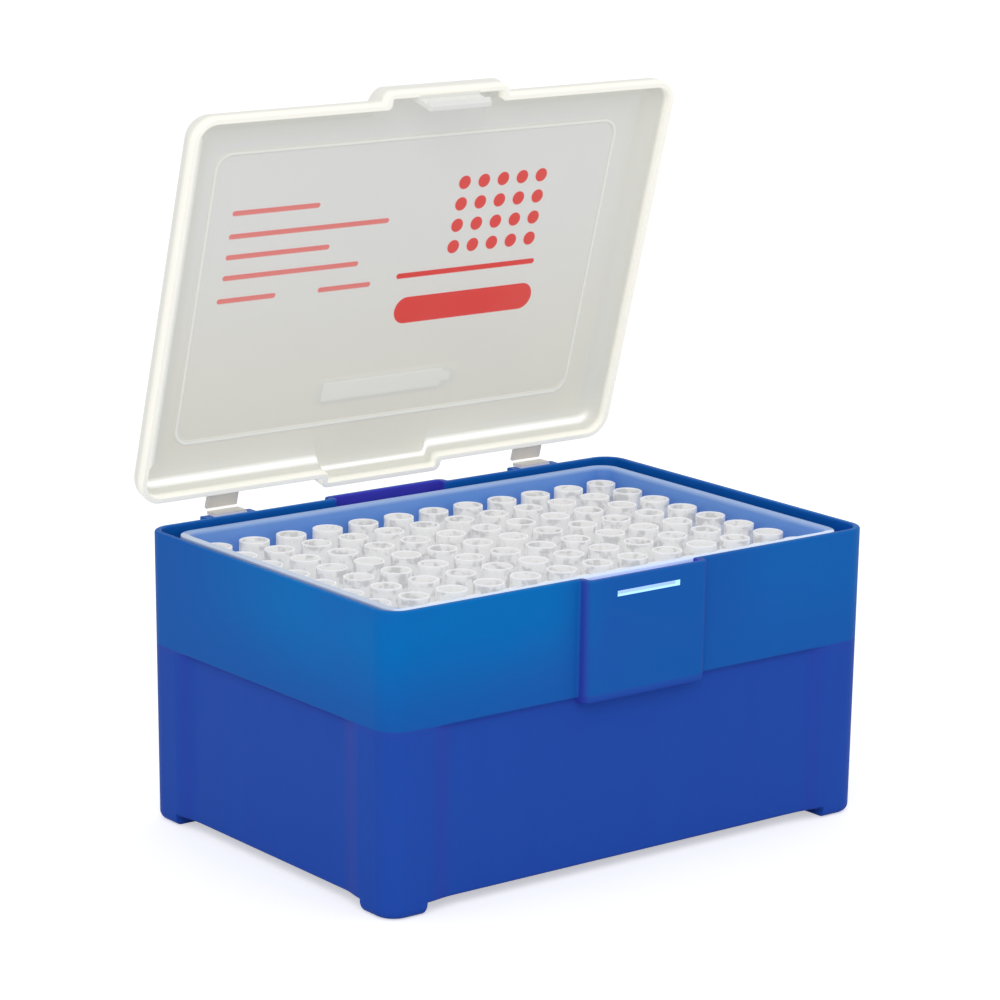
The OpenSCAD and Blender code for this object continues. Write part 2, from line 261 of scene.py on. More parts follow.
def put_mesh(name, grids, caps=(), attribute=None):
    """Object from grids of points. Each grid is an array of rows by columns by 3 with the
    faces between neighbouring points; doubles are merged, so seams and poles close. Each cap is
    a ring of points to fill and its material's place in the list. attribute names the values
    that the grids carry."""
    points, faces, kinds, extra = [], [], [], []
    start = 0
    for grid, wrap_rows, wrap_columns, skip, kind, values in grids:
        rows, columns = grid.shape[:2]
        index = np.arange(rows * columns).reshape(rows, columns) + start
        if wrap_rows:
            index = np.concatenate([index, index[:1]], 0)
        if wrap_columns:
            index = np.concatenate([index, index[:, :1]], 1)
        quad = np.stack([index[:-1, :-1], index[:-1, 1:], index[1:, 1:], index[1:, :-1]], -1)
        keep = np.ones(quad.shape[:2], bool) if skip is None else ~skip
        quad_kind = np.broadcast_to(np.asarray(kind).reshape(-1, 1), quad.shape[:2])
        faces.append(quad[keep])
        kinds.append(quad_kind[keep])
        points.append(grid.reshape(-1, 3))
        extra.append(np.zeros(rows * columns) if values is None else values.reshape(-1))
        start += rows * columns
    points, faces = np.concatenate(points), np.concatenate(faces)
    kinds, extra = np.concatenate(kinds), np.concatenate(extra)
    key = np.round(points / MERGE).astype(np.int64)
    _, first, back = np.unique(key, axis=0, return_index=True, return_inverse=True)
    points, extra, faces = points[first], extra[first], back.reshape(-1)[faces]
    same = faces == np.roll(faces, -1, axis=1)
    quads, triangles = same.sum(1) == 0, same.sum(1) == 1
    short = faces[triangles][~same[triangles]].reshape(-1, 3)
    all_faces = faces[quads].tolist() + short.tolist()
    face_kinds = np.concatenate([kinds[quads], kinds[triangles]]).astype(np.int32)
    for ring, kind in caps:
        corner = np.round(ring / MERGE).astype(np.int64)
        all_faces.append([int(np.flatnonzero((key[first] == c).all(1))[0]) for c in corner])
        face_kinds = np.append(face_kinds, kind)
    mesh = bpy.data.meshes.new(name)
    mesh.from_pydata(points.tolist(), [], all_faces)
    mesh.polygons.foreach_set("material_index", face_kinds)
    if attribute:
        layer = mesh.attributes.new(attribute, "FLOAT", "POINT")
        layer.data.foreach_set("value", extra.astype(np.float32))
    mesh.validate()
    mesh.shade_smooth()
    mesh.set_sharp_from_angle(angle=SHARP_ANGLE)
    thing = bpy.data.objects.new(name, mesh)
    bpy.context.scene.collection.objects.link(thing)
    weighted = thing.modifiers.new("Weighted normals", "WEIGHTED_NORMAL")
    weighted.keep_sharp = True
    return thing


def grid_of(points, wrap_rows=False, wrap_columns=False, skip=None, kind=0, values=None):
    """A grid for put_mesh, with what it wraps round, leaves out and carries."""
    return points, wrap_rows, wrap_columns, skip, kind, values


def quarter_turn(count):
    """Angles through a quarter turn."""
    return np.linspace(0.0, QUARTER, count)


def falling_step(edge, rise, first, last, turns=6):
    """Samples outwards across a step that falls from 1 to 0: a quarter round, an upright wall
    at the edge and a second quarter round. Gives evenly spread places, places on the step and
    the share of the rise at each."""
    turn = quarter_turn(turns)
    at = np.concatenate([edge - first + first * np.sin(turn), edge + last - last * np.cos(turn)])
    level = np.concatenate([rise - first + first * np.cos(turn), last - last * np.sin(turn)])
    return np.linspace(at[0], at[-1], at.size), at, level / rise


class Track:
    """Samples once round a rounded rectangle, counter-clockwise from the right side. Each side
    is given as its half from the middle outwards: places on the flat, places where the panel
    step and the bulge step stand, and the two shares. The corners are quarter turns. Parts 0 to
    3 are the sides and 4 to 7 the corners after them."""

    def __init__(self, long_half, short_half, turns=10):
        def mirrored(half):
            flat, on_panel, on_bulge, panel, bulge = half
            back = slice(None, 0, -1)
            return [np.concatenate([-a[back], a]) for a in (flat, on_panel, on_bulge)] + [
                np.concatenate([a[back], a]) for a in (panel, bulge)]

        long_side, short_side = mirrored(long_half), mirrored(short_half)
        turn = quarter_turn(turns)
        blank = np.zeros(turns)
        parts = []
        for quarter, side in enumerate((short_side, long_side, short_side, long_side)):
            order = slice(None) if quarter in (0, 3) else slice(None, None, -1)
            flat, on_panel, on_bulge, panel, bulge = (a[order] for a in side)
            parts.append((flat, on_panel, on_bulge, panel, bulge,
                          np.full(flat.size, quarter * QUARTER), np.full(flat.size, quarter)))
            parts.append((blank, blank, blank, blank, blank, turn + quarter * QUARTER,
                          np.full(turns, quarter + 4)))
        (self.flat, self.on_panel, self.on_bulge, self.panel, self.bulge, self.angle,
         self.part) = (np.concatenate(p) for p in zip(*parts))
        self.count = self.flat.size
        self.rise = self.panel

    def flare(self, long_edge, short_edge, width):
        """Lets the panel rise to the column's face over a width: the share becomes a smooth
        step of the distance to the column's edge, while the step in height stays upright."""
        edge = np.where(self.part % 2 == 0, short_edge, long_edge)
        t = np.clip((edge - np.abs(self.flat)) / width, 0.0, 1.0)
        self.rise = np.where(self.part < 4, t * t * (3 - 2 * t), 0.0)

    def surface(self, half, radius, inset, z, panel_share, bulge_share, anchor=None):
        """Rows of points round the box. A side's point lies its inset in from the outline along
        the normal; a corner's point lies on an arc about the corner's centre. inset and z are
        rows by columns, radius and the shares are by row. Places past the anchor, where one is
        given, are squeezed to fit a short row."""
        a, b = half
        place = (self.flat + panel_share[:, None] * (self.on_panel - self.flat)
                 + bulge_share[:, None] * (self.on_bulge - self.flat))
        corner = self.part >= 4
        inset_corner = inset[:, np.flatnonzero(corner)[0]]
        reach = np.stack([a - inset_corner - radius, b - inset_corner - radius], 1)
        long_side = self.part % 2 == 1
        if anchor is not None:
            room = np.where(long_side[None, :], reach[:, :1], reach[:, 1:])
            hold = np.where(long_side, anchor[0], anchor[1])[None, :]
            full = np.where(long_side, anchor[2], anchor[3])[None, :]
            past = np.abs(place) - hold
            squeezed = hold + past * (np.minimum(room, full) - hold) / (full - hold)
            place = np.where(past > 0, np.sign(place) * squeezed, place)
        cos, sin = np.cos(self.angle)[None, :], np.sin(self.angle)[None, :]
        sign_x = np.where(np.isin(self.part, (4, 7)), 1.0, -1.0)[None, :]
        sign_y = np.where(np.isin(self.part, (4, 5)), 1.0, -1.0)[None, :]
        corner_x = sign_x * reach[:, :1] + radius[:, None] * cos
        corner_y = sign_y * reach[:, 1:] + radius[:, None] * sin
        side_x = np.where(long_side[None, :], place, cos * (a - inset))
        side_y = np.where(long_side[None, :], sin * (b - inset), place)
        x = np.where(corner[None, :], corner_x, side_x)
        y = np.where(corner[None, :], corner_y, side_y)
        return np.stack([x, y, z], -1)


class Section:
    """Three section curves with as many samples each: at the corner columns, at the panels and
    at the bulge. Each curve is inset and height; the two shares say how far the upright steps
    stand at that row."""

    def __init__(self):
        self.rows = []

    def add(self, column, panel, bulge, panel_share, bulge_share, inner=0):
        """Adds rows: column, panel and bulge are (insets, heights)."""
        size = max(np.size(v) for v in (*column, *panel, *bulge))
        block = [np.broadcast_to(np.asarray(v, float), size) for v in
                 (*column, *panel, *bulge, panel_share, bulge_share, inner)]
        self.rows.append(np.stack(block, 1))

    def spread(self, rows, track):
        """Insets and heights for every row and column: the panel's curve stands in for the
        column's by the panel share, and the bulge's for both by the bulge share."""
        column, panel, bulge = rows[:, 0:2], rows[:, 2:4], rows[:, 4:6]
        share_in = np.stack([track.rise, track.panel], -1)[None]
        blend = column[:, None] + share_in * (panel - column)[:, None]
        blend = blend + track.bulge[None, :, None] * (bulge[:, None] - blend)
        return blend[..., 0], blend[..., 1]

    def skins(self, outer, inner, half, radius, anchors=(None, None)):
        """Points of every row round the outer track, or the inner one for the inner rows.
        radius gives each row's corner radius from the table of rows. The table, the two shares
        and which rows are inner ones come with the points."""
        rows = np.concatenate(self.rows)
        panel_share, bulge_share, is_inner = rows[:, 6], rows[:, 7], rows[:, 8] > 0.5
        skins = [track.surface(half, radius(rows), *self.spread(rows, track), panel_share,
                               bulge_share, anchor)
                 for track, anchor in zip((outer, inner), anchors)]
        points = np.where(is_inner[:, None, None], skins[1], skins[0])
        return points, rows, panel_share, bulge_share, is_inner


def capped(ring, track, corner_x, corner_y, z, faces_up, kind=0, lift=None, values=None):
    """Flat grid that closes a surface inside its last ring: every place on the long sides
    crossed with every place on the short sides, raised by lift(x, y) where that is given."""
    long_side = track.part == 3
    short_side = track.part == 0
    x = np.unique(np.round(np.concatenate([[-corner_x], ring[long_side, 0], [corner_x]]), 9))
    y = np.unique(np.round(np.concatenate([[-corner_y], ring[short_side, 1], [corner_y]]), 9))
    gx, gy = np.meshgrid(x, y, indexing="ij")
    gz = np.full_like(gx, z) if lift is None else z + lift(gx, gy)
    grid = np.stack([gx, gy, gz], -1)
    carried = np.zeros_like(gx) if values is None else values(gx, gy)
    if faces_up:
        grid, carried = grid[:, ::-1], carried[:, ::-1]
    return grid_of(grid, kind=kind, values=carried)


def plain_half(places):
    """Half of a side with no steps: the given places from the middle outwards."""
    return [places, places, places, np.zeros(places.size), np.zeros(places.size)]


def half_side(steps, counts, bulge, extra=(), anchor=None):
    """Half of a side from the middle outwards. steps holds (which, edge, rise, first, last);
    the plain stretches before, between and after them get the given counts of places."""
    beside = 0.4 * MM
    parts = []
    here, panel_now, bulge_now = 0.0, 1.0, 1.0 if bulge else 0.0

    def plain(high, count, ends=False):
        places = np.linspace(here, high, count + 1)[: count + 1 if ends else count]
        places = np.unique(np.round(np.append(places, [e for e in extra if here < e < high]), 9))
        return (places, places, places, np.full(places.size, panel_now),
                np.full(places.size, bulge_now))

    for (which, edge, rise, first, last), count in zip(steps, counts):
        spread, at, level = falling_step(edge, rise, first, last)
        parts.append(plain(at[0] - beside, count))
        if which == "panel":
            parts.append((spread, at, spread, level, np.full(at.size, bulge_now)))
            panel_now = 0.0
        else:
            parts.append((spread, spread, at, np.full(at.size, panel_now), level))
            bulge_now = 0.0
        here = at[-1] + beside
    if anchor is not None:
        parts.append(plain(anchor, counts[-1], True))
    return [np.concatenate(v) for v in zip(*parts)]


def corner_directions(corners):
    """Unit vectors from each corner of a closed outline to the ones before and after it."""
    return [step / np.linalg.norm(step, axis=1, keepdims=True) for step in
            (np.roll(corners, 1, 0) - corners, np.roll(corners, -1, 0) - corners)]


def rounded_loop(corners, rounding, turns):
    """Closed curve through corners, each replaced by a short parabola that starts and ends the
    rounding away from it."""
    corners = np.asarray(corners, float)
    before, after = corner_directions(corners)
    t = np.linspace(0.0, 1.0, turns)[None, :, None]
    start, end = corners + before * rounding[:, None], corners + after * rounding[:, None]
    return (start[:, None] * (1 - t) ** 2 + 2 * corners[:, None] * t * (1 - t)
            + end[:, None] * t ** 2).reshape(-1, 2)


def carried_profile(outline, middle, width, rounding, turns=4):
    """Closed solid from an outline in Y and Z, carried along X to half the width each way from
    the middle. The outline's corners are rounded, and it shrinks by a third of the rounding
    through a quarter turn at each end, less than the tightest bend of a corner, so the end
    faces never cross themselves."""
    before, after = corner_directions(outline)
    half_angle = np.arccos(np.clip((before * after).sum(1), -1, 1)) / 2
    loop = rounded_loop(outline, rounding / np.tan(half_angle), turns)
    ahead, behind = np.roll(loop, -1, 0) - loop, loop - np.roll(loop, 1, 0)
    tangent = ahead / np.linalg.norm(ahead, axis=1, keepdims=True) + behind / np.linalg.norm(
        behind, axis=1, keepdims=True)
    tangent /= np.linalg.norm(tangent, axis=1, keepdims=True)
    area = (loop[:, 0] * np.roll(loop[:, 1], -1) - np.roll(loop[:, 0], -1) * loop[:, 1]).sum()
    if area < 0:
        loop, tangent = loop[::-1], -tangent[::-1]
    normal = np.stack([tangent[:, 1], -tangent[:, 0]], 1)
    turn = quarter_turn(turns)
    along = np.concatenate([middle - width / 2 + rounding * (1 - np.cos(turn)),
                            middle + width / 2 - rounding * (1 - np.cos(turn[::-1]))])
    shrink = np.concatenate([1 - np.sin(turn), 1 - np.sin(turn[::-1])]) * rounding / 3
    yz = loop[None] - normal[None] * shrink[:, None, None]
    x = np.broadcast_to(along[:, None, None], (*yz.shape[:2], 1))
    grid = np.concatenate([x, yz], -1)
    return grid_of(grid, wrap_columns=True), [(grid[0][::-1], 0), (grid[-1], 0)]


def turned_open(points):
    """Points of the closed lid turned about the hinge line to where the lid rests."""
    y, z = points[..., 1] - HINGE_Y, points[..., 2] - HINGE_Z
    c, s = math.cos(OPEN_ANGLE), math.sin(OPEN_ANGLE)
    return np.stack([points[..., 0], HINGE_Y + c * y + s * z, HINGE_Z - s * y + c * z], -1)


def opened(grid):
    """The same for a grid of put_mesh."""
    return (turned_open(grid[0]), *grid[1:])


def finish_piece(thing, body, materials, nodes=()):
    """Gives a piece its materials and body, and hides the CAD nodes that it stands for."""
    for material in materials:
        thing.data.materials.append(material)
    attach(thing, body)
    if nodes:
        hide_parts(*nodes)
    return thing


# ---------------------------------------------------------------- materials


class Value:
    """A number socket that takes part in Python sums; each operator adds a Math node."""

    def __init__(self, nodes, socket):
        self.nodes, self.socket = nodes, socket

    def _math(self, operation, *others, clamp=False):
        return self.nodes.add("ShaderNodeMath", {"operation": operation, "use_clamp": clamp},
                              dict(enumerate((self, *others))))

    def __add__(self, other):
        return self._math("ADD", other)

    __radd__ = __add__

    def __sub__(self, other):
        return self._math("SUBTRACT", other)

    def __rsub__(self, other):
        return self.nodes.add("ShaderNodeMath", {"operation": "SUBTRACT"}, {0: other, 1: self})

    def __mul__(self, other):
        return self._math("MULTIPLY", other)

    __rmul__ = __mul__

    def __abs__(self):
        return self._math("ABSOLUTE")

    def __pow__(self, other):
        return self._math("POWER", other)

    def clamped(self):
        """The value kept between 0 and 1."""
        return self._math("ADD", 0.0, clamp=True)

    def highest(self, other):
        """The larger of two values."""
        return self._math("MAXIMUM", other)

    def wrapped(self, size):
        """The value's place within a repeat of a size."""
        return self._math("FLOORED_MODULO", size)

    def ramp(self, low, high):
        """Smooth rise from 0 at low to 1 at high; low may be the larger."""
        if low > high:
            return 1 - self.ramp(high, low)
        return self.nodes.add("ShaderNodeMapRange", {"interpolation_type": "SMOOTHSTEP"},
                              {"Value": self, "From Min": low, "From Max": high})


class Nodes:
    """The nodes of one material or of the world. add() is the only way that a node is made."""

    def __init__(self, owner):
        owner.use_nodes = True
        self.owner, self.tree = owner, owner.node_tree
        self.tree.nodes.clear()

    def add(self, kind, settings=None, inputs=None, output=0):
        """Adds a node: its settings first, then the values or links of its sockets."""
        node = self.tree.nodes.new(kind)
        for name, value in (settings or {}).items():
            setattr(node, name, value)
        for name, value in (inputs or {}).items():
            socket = node.inputs[name]
            if isinstance(value, Value):
                self.tree.links.new(value.socket, socket)
            elif socket.type == "RGBA" and len(value) == 3:
                socket.default_value = (*value, 1.0)
            else:
                socket.default_value = value
        return Value(self, node.outputs[output]) if node.outputs else None

    def place(self):
        """The point's place on the piece, in metres."""
        return self.add("ShaderNodeTexCoord", output="Object")

    def split(self, vector):
        """The three coordinates of a vector."""
        outputs = self.add("ShaderNodeSeparateXYZ", inputs={0: vector}).socket.node.outputs
        return [Value(self, socket) for socket in outputs]

    def dot(self, vector, direction):
        """Length of a vector along a direction."""
        return self.add("ShaderNodeVectorMath", {"operation": "DOT_PRODUCT"},
                        {0: vector, 1: direction}, "Value")

    def noise(self, vector, scale, detail):
        """Cloudy noise from 0 to 1."""
        return self.add("ShaderNodeTexNoise",
                        inputs={"Vector": vector, "Scale": scale, "Detail": detail})

    def stretched(self, vector, scale):
        """A vector with each coordinate scaled."""
        return self.add("ShaderNodeVectorMath", {"operation": "MULTIPLY"}, {0: vector, 1: scale})

    def mixed(self, factor, first, second):
        """Two colours mixed by a factor."""
        return self.add("ShaderNodeMix", {"data_type": "RGBA"},
                        {0: factor, 6: first, 7: second}, 2)

    def seen_directly(self):
        """1 for the camera's own rays, also through clear plastic, and 0 for light."""
        return self.add("ShaderNodeLightPath", output="Is Camera Ray").highest(
            self.add("ShaderNodeLightPath", output="Is Transmission Ray"))

    def bump(self, height, distance, strength):
        """Normal of a surface raised by a height."""
        return self.add("ShaderNodeBump", inputs={"Height": height, "Distance": distance,
                                                  "Strength": strength})

    def plastic(self, **sockets):
        """Principled shader with the given sockets, joined to the output."""
        names = {"colour": "Base Color", "roughness": "Roughness", "ior": "IOR",
                 "transmission": "Transmission Weight", "specular": "Specular IOR Level",
                 "normal": "Normal", "emission": "Emission Color",
                 "emission_strength": "Emission Strength"}
        self.finish(self.add("ShaderNodeBsdfPrincipled",
                             inputs={names[k]: v for k, v in sockets.items()}))
        return self.owner

    def finish(self, shader, output="ShaderNodeOutputMaterial"):
        """Joins a shader to the output."""
        self.add(output, inputs={"Surface": shader})


def material_nodes(name):
    """The empty nodes of a new material."""
    return Nodes(bpy.data.materials.new(name))


def blue_plastic(sizes):
    """Translucent blue plastic: a band above the ledge painted brighter, with painted light where
    light from inside shines through it, set-back panels below painted deeper for the shade inside,
    painted violet shade on the steps, and faint flow clouds and grain."""
    n = material_nodes("base_blue")
    place = n.place()
    x, y, z = n.split(place)
    ledge = RIM - sizes.panel_drop
    clouds = n.noise(n.stretched(place, (26.0, 26.0, 44.0)), 1.0, 3.0)
    streaks = n.noise(n.stretched(place, (120.0, 120.0, 9.0)), 1.0, 2.0)
    grain = n.noise(place, 2600.0, 2.0)
    swell = n.noise(place, 60.0, 1.0)
    width = half_width(sizes)
    # Painted light where light from inside shines through the band: on the long sides towards the
    # left end, on the ends towards the front, rising from the ledge to the rim, in clouds.
    long_side = abs(y).ramp(width - 2.5 * MM, width - 1.0 * MM)
    along = (0 - x).ramp(8 * MM, 24 * MM) + x.ramp(20 * MM, 36 * MM) * 0.35
    beside = (0 - y).ramp(-36 * MM, 18 * MM)
    glow = (beside + long_side * (along - beside)) * z.ramp(ledge - 2 * MM, RIM - 4 * MM)
    glow = (glow * (0.55 + clouds * 0.8)).clamped()
    upper = n.mixed(glow, sizes.upper, sizes.glow)
    lower = n.mixed(streaks * 0.5, sizes.lower, linear((34, 88, 190)))
    # Painted light and shade: the band above the ledge takes the lighter blue, the set-back panels
    # the deeper one.
    colour = n.mixed(z.ramp(ledge - 0.2 * MM, ledge + 0.6 * MM), lower, upper)
    colour = n.mixed(clouds.ramp(0.45, 0.8) * 0.25, colour, linear((44, 86, 186)))
    # Painted shade: the edge attribute turns the steps and their fillets violet.
    edge = n.add("ShaderNodeAttribute", {"attribute_name": "edge"}, output="Fac")
    colour = n.mixed((edge * 0.75).clamped(), colour, sizes.edge)
    return n.plastic(colour=colour, roughness=0.30 + clouds * 0.10 + grain * 0.06, specular=0.05,
                     normal=n.bump(grain * 0.012 + swell * 0.25, 0.6 * MM, 0.35))


def blue_inside(sizes):
    """The same plastic on the rim and inside, with painted shade inside the bulges' pockets."""
    n = material_nodes("base_blue_inside")
    place = n.place()
    x, y, _ = n.split(place)
    clouds = n.noise(place, 40.0, 2.0)
    grain = n.noise(place, 2400.0, 1.0)
    colour = n.mixed(clouds * 0.4, sizes.rim, linear((30, 112, 204)))
    width = half_width(sizes)
    # Painted shade inside the bulges' pockets.
    pocket_shade = abs(x).ramp(sizes.bulge_half + 0.6 * MM, sizes.bulge_half) * abs(y).ramp(
        width - 1.5 * MM, width - 0.9 * MM)
    colour = n.mixed(pocket_shade, colour, sizes.pocket_shade)
    return n.plastic(colour=colour, roughness=0.28 + grain * 0.08, specular=0.08,
                     normal=n.bump(grain, 0.01 * MM, 0.3))


def slot_light(sizes):
    """The latch slot's cut walls, painted pale and glowing: painted light that stands in for the
    lit inside of the box.
    """
    n = material_nodes("slot_light")
    grain = n.noise(n.place(), 2400.0, 1.0)
    colour = n.mixed(grain * 0.3, sizes.slot_light, linear((206, 236, 250)))
    return n.plastic(colour=colour, roughness=0.35 + grain * 0.08, specular=0.2, emission=colour,
                     emission_strength=0.45, normal=n.bump(grain, 0.01 * MM, 0.3))


def rack_plastic(sizes):
    """White plastic, painted by side: the far walls painted blue for the base's light through them,
    with a painted highlight along their lip, and the front wall, which shows through the latch
    slot, painted pale with a painted glow."""
    n = material_nodes("rack_white")
    place = n.place()
    x, y, z = n.split(place)
    clouds = n.noise(place, 50.0, 2.0)
    grain = n.noise(place, 2200.0, 2.0)
    half_blend, front_wall, left_wall = 0.4 * MM, 36.0 * MM, 54.0 * MM
    lip = z.ramp(RACK_HIGH.z - 1.0 * MM, RACK_HIGH.z - 0.2 * MM)
    # Painted light and shade by side: the front and left walls take the pale colours, the far walls
    # the painted blue with a painted highlight along their lip.
    front = (0 - y).ramp(front_wall - half_blend, front_wall + half_blend)
    left = (0 - x).ramp(left_wall - half_blend, left_wall + half_blend)
    far = n.mixed(lip, sizes.wall_painted_blue, sizes.far_lip_highlight)
    far = n.mixed(clouds * 0.35, far, linear((150, 180, 232)))
    high = z.ramp(RACK_HIGH.z - 1.6 * MM, RACK_HIGH.z - 1.1 * MM)
    near = n.mixed(high, sizes.front_wall, sizes.lip_colour)
    colour = n.mixed(front.highest(left), far, near)
    # Painted light: the front wall glows where it shows through the latch slot, its lip much less.
    lit = n.mixed(high, sizes.front_wall, linear((120, 134, 150)))
    return n.plastic(colour=colour, roughness=0.34 + grain * 0.08, specular=0.35,
                     emission=n.mixed(front, (0.0, 0.0, 0.0), lit), emission_strength=0.8,
                     normal=n.bump(grain, 0.01 * MM, 0.4))


def deck_plastic():
    """White plastic of the perforated deck."""
    n = material_nodes("rack_deck_white")
    place = n.place()
    grain = n.noise(place, 2200.0, 2.0)
    clouds = n.noise(place, 60.0, 2.0)
    colour = n.mixed(clouds, linear((226, 232, 246)), linear((240, 243, 250)))
    return n.plastic(colour=colour, roughness=0.38 + grain * 0.08, specular=0.4,
                     normal=n.bump(grain, 0.01 * MM, 0.4))


def tip_plastic(sizes):
    """Unpigmented plastic of the tips: pale and slightly see-through, with a painted glow for the
    light scattered inside, a painted highlight along the mouths, and faint flow lines and specks."""
    n = material_nodes("tip_natural")
    place = n.place()
    flow = n.noise(n.stretched(place, (900.0, 900.0, 60.0)), 1.0, 2.0)
    specks = n.noise(place, 420.0, 2.0)
    colour = n.mixed(flow * 0.5, sizes.natural, linear((246, 246, 248)))
    colour = n.mixed(specks.ramp(0.48, 0.66) * 0.85, colour, sizes.speck)
    _, _, z = n.split(place)
    # Painted highlight along the mouths.
    colour = n.mixed(z.ramp(TIP_HIGH.z - 0.35 * MM, TIP_HIGH.z - 0.1 * MM) * 0.8, colour,
                     linear((252, 252, 255)))
    # Painted light: the tips glow at a share of their own colour.
    return n.plastic(colour=colour, roughness=0.24 + flow * 0.12, specular=0.45, transmission=0.08,
                     ior=1.4, emission=colour, emission_strength=0.13,
                     normal=n.bump(flow, 0.04 * MM, 0.4))


# The print, in millimetres: each bar's middle across the lid and from its hinge edge, half its
# core both ways, and its radius. The dots repeat by their pitches and stay inside their frame.
PRINT_RED = ((18.0, 34.0, 15.0, 0.0, 3.0), (17.0, 42.0, 17.4, 0.0, 0.6))
PRINT_PALE = ((-38.0, 41.0, 6.5, 0.0, 0.55), (-14.0, 41.0, 6.0, 0.0, 0.55),
              (-28.0, 46.0, 16.0, 0.0, 0.55), (-32.0, 50.5, 12.0, 0.0, 0.55),
              (-25.0, 55.0, 19.0, 0.0, 0.55), (-34.0, 60.0, 10.0, 0.0, 0.55))
DOT_FRAME = (22.5, 54.6, 12.4, 9.5, 0.1)
DOT_PITCH_X, DOT_PITCH_U, DOTS_FROM, DOT_RADIUS, PRINT_EDGE = 5.0, 4.8, 45.0, 1.5, 0.12


def bar(x, u, centre_x, centre_u, half_x, half_u, radius):
    """Mask of a rounded bar: 1 where the distance to its core is under the radius."""
    dx = (abs(x - centre_x * MM) - half_x * MM).highest(0.0)
    du = (abs(u - centre_u * MM) - half_u * MM).highest(0.0)
    return disc(dx, du, radius)


def disc(dx, du, radius):
    """Mask of the places less than the radius away, with a soft edge."""
    distance = (dx * dx + du * du) ** 0.5
    return distance.ramp((radius + PRINT_EDGE) * MM, (radius - PRINT_EDGE) * MM)


def bars(x, u, rows):
    """Mask of several bars."""
    mask, *others = [bar(x, u, *row) for row in rows]
    for other in others:
        mask = mask.highest(other)
    return mask


def fitting_plastic(name, tint, clear, glow=0.1):
    """Milky plastic of the small fittings: one tint with faint clouds, more or less clear, and a
    faint painted glow of that colour.
    """
    n = material_nodes(name)
    place = n.place()
    clouds = n.noise(place, 160.0, 2.0)
    grain = n.noise(place, 1800.0, 2.0)
    colour = n.mixed(clouds * 0.5, tint, tuple(0.5 + 0.5 * v for v in tint))
    return n.plastic(colour=colour, roughness=0.26 + grain * 0.08, specular=0.5, transmission=clear,
                     ior=1.4, emission=colour, emission_strength=glow,
                     normal=n.bump(grain * 0.02 + clouds * 0.2, 0.1 * MM, 0.35))


def lid_plastic(sizes):
    """Milky plastic: a grey panel, thick parts painted paler for the light gathered in them,
    painted highlight lines, a free edge painted cream-white, a faint painted glow, and the red
    print, which is plain bars, lines and dots measured from the hinge edge."""
    n = material_nodes("lid_milky")
    place = n.place()
    x, _, _ = n.split(place)
    c, s = math.cos(OPEN_ANGLE), math.sin(OPEN_ANGLE)
    u = n.dot(place, (0.0, -c, s)) + (c * HINGE_Y - s * HINGE_Z - 3.4 * MM)
    height = n.dot(place, (0.0, s, c)) - (s * HINGE_Y + c * HINGE_Z - 0.6 * MM)
    clouds = n.noise(place, 30.0, 3.0)
    grain = n.noise(place, 1800.0, 2.0)
    swell = n.noise(place, 34.0, 1.0)
    # Painted light from the mesh attribute: up to 1 it is the share of the thick parts, painted
    # paler; above 1 it is a painted highlight.
    thick = n.add("ShaderNodeAttribute", {"attribute_name": "thick"}, output="Fac")
    sheet = n.mixed(u.ramp(62 * MM, 6 * MM), sizes.panel, sizes.warm)
    colour = n.mixed(thick.clamped(), sheet, sizes.skirt)
    colour = n.mixed(clouds * 0.3, colour, linear((227, 226, 220)))
    # Painted highlight lines: where the attribute passes 1.
    bright = (thick - 1).clamped()
    colour = n.mixed(bright, colour, sizes.line)
    # Painted light: cream-white along the free edge.
    cream = height.ramp(2.4 * MM, 1.0 * MM)
    colour = n.mixed(cream, colour, sizes.cream)
    dots = disc(x.wrapped(DOT_PITCH_X * MM) - DOT_PITCH_X / 2 * MM,
                (u - DOTS_FROM * MM).wrapped(DOT_PITCH_U * MM) - DOT_PITCH_U / 2 * MM, DOT_RADIUS)
    dots = dots * bar(x, u, *DOT_FRAME)
    worn = 0.90 + clouds * 0.10
    colour = n.mixed(bars(x, u, PRINT_PALE) * worn, colour, sizes.print_pale)
    colour = n.mixed(bars(x, u, PRINT_RED).highest(dots) * worn, colour,
                     sizes.print_red)
    # Painted glow: the shell glows at a share of its colour, and the highlight lines and a little
    # of the free edge glow white.
    glow = n.mixed(bright.highest(cream * 0.12), n.mixed(0.29, (0.0, 0.0, 0.0), colour),
                   sizes.line)
    return n.plastic(colour=colour, roughness=0.27 + clouds * 0.10 + grain * 0.05, specular=0.5,
                     transmission=0.06, ior=1.4, emission=glow, emission_strength=0.55,
                     normal=n.bump(grain * 0.02 + swell, 0.25 * MM, 0.35))


# ---------------------------------------------------------------- base


def lean(z, draft):
    """Inward lean of the base's side at a height, nothing at the rim."""
    return draft * (RIM - z) / RIM


def base_tracks(s):
    """Samples round the outside and the inside of the base, with as many places each."""
    inside = s.wall
    slot = (s.slot_half - BESIDE_SLOT, s.slot_half, s.slot_half + BESIDE_SLOT)
    panel_edge = HALF_LENGTH - s.column
    short_edge = half_width(s) - s.column
    ramp = np.arange(1.2 * MM, s.flare, 0.7 * MM)

    def make(bulge_edge, bulge_step, column_edge, short_column_edge):
        long_half = half_side(
            [("bulge", bulge_edge, s.bulge_out, *bulge_step),
             ("panel", column_edge, s.recess, *PANEL_STEP)], (7, 5), True,
            (*slot, *(column_edge - ramp)))
        short_half = half_side([("panel", short_column_edge, s.recess, *PANEL_STEP)],
                               (4,), False, tuple(short_column_edge - ramp))
        return Track(long_half, short_half)

    outer = make(s.bulge_half, BULGE_STEP, panel_edge, short_edge)
    outer.flare(panel_edge, short_edge, s.flare)
    inner = make(s.bulge_half - inside, BULGE_STEP_INSIDE, panel_edge + inside,
                 short_edge + inside)
    return outer, inner, (panel_edge, short_edge), (panel_edge + inside, short_edge + inside)


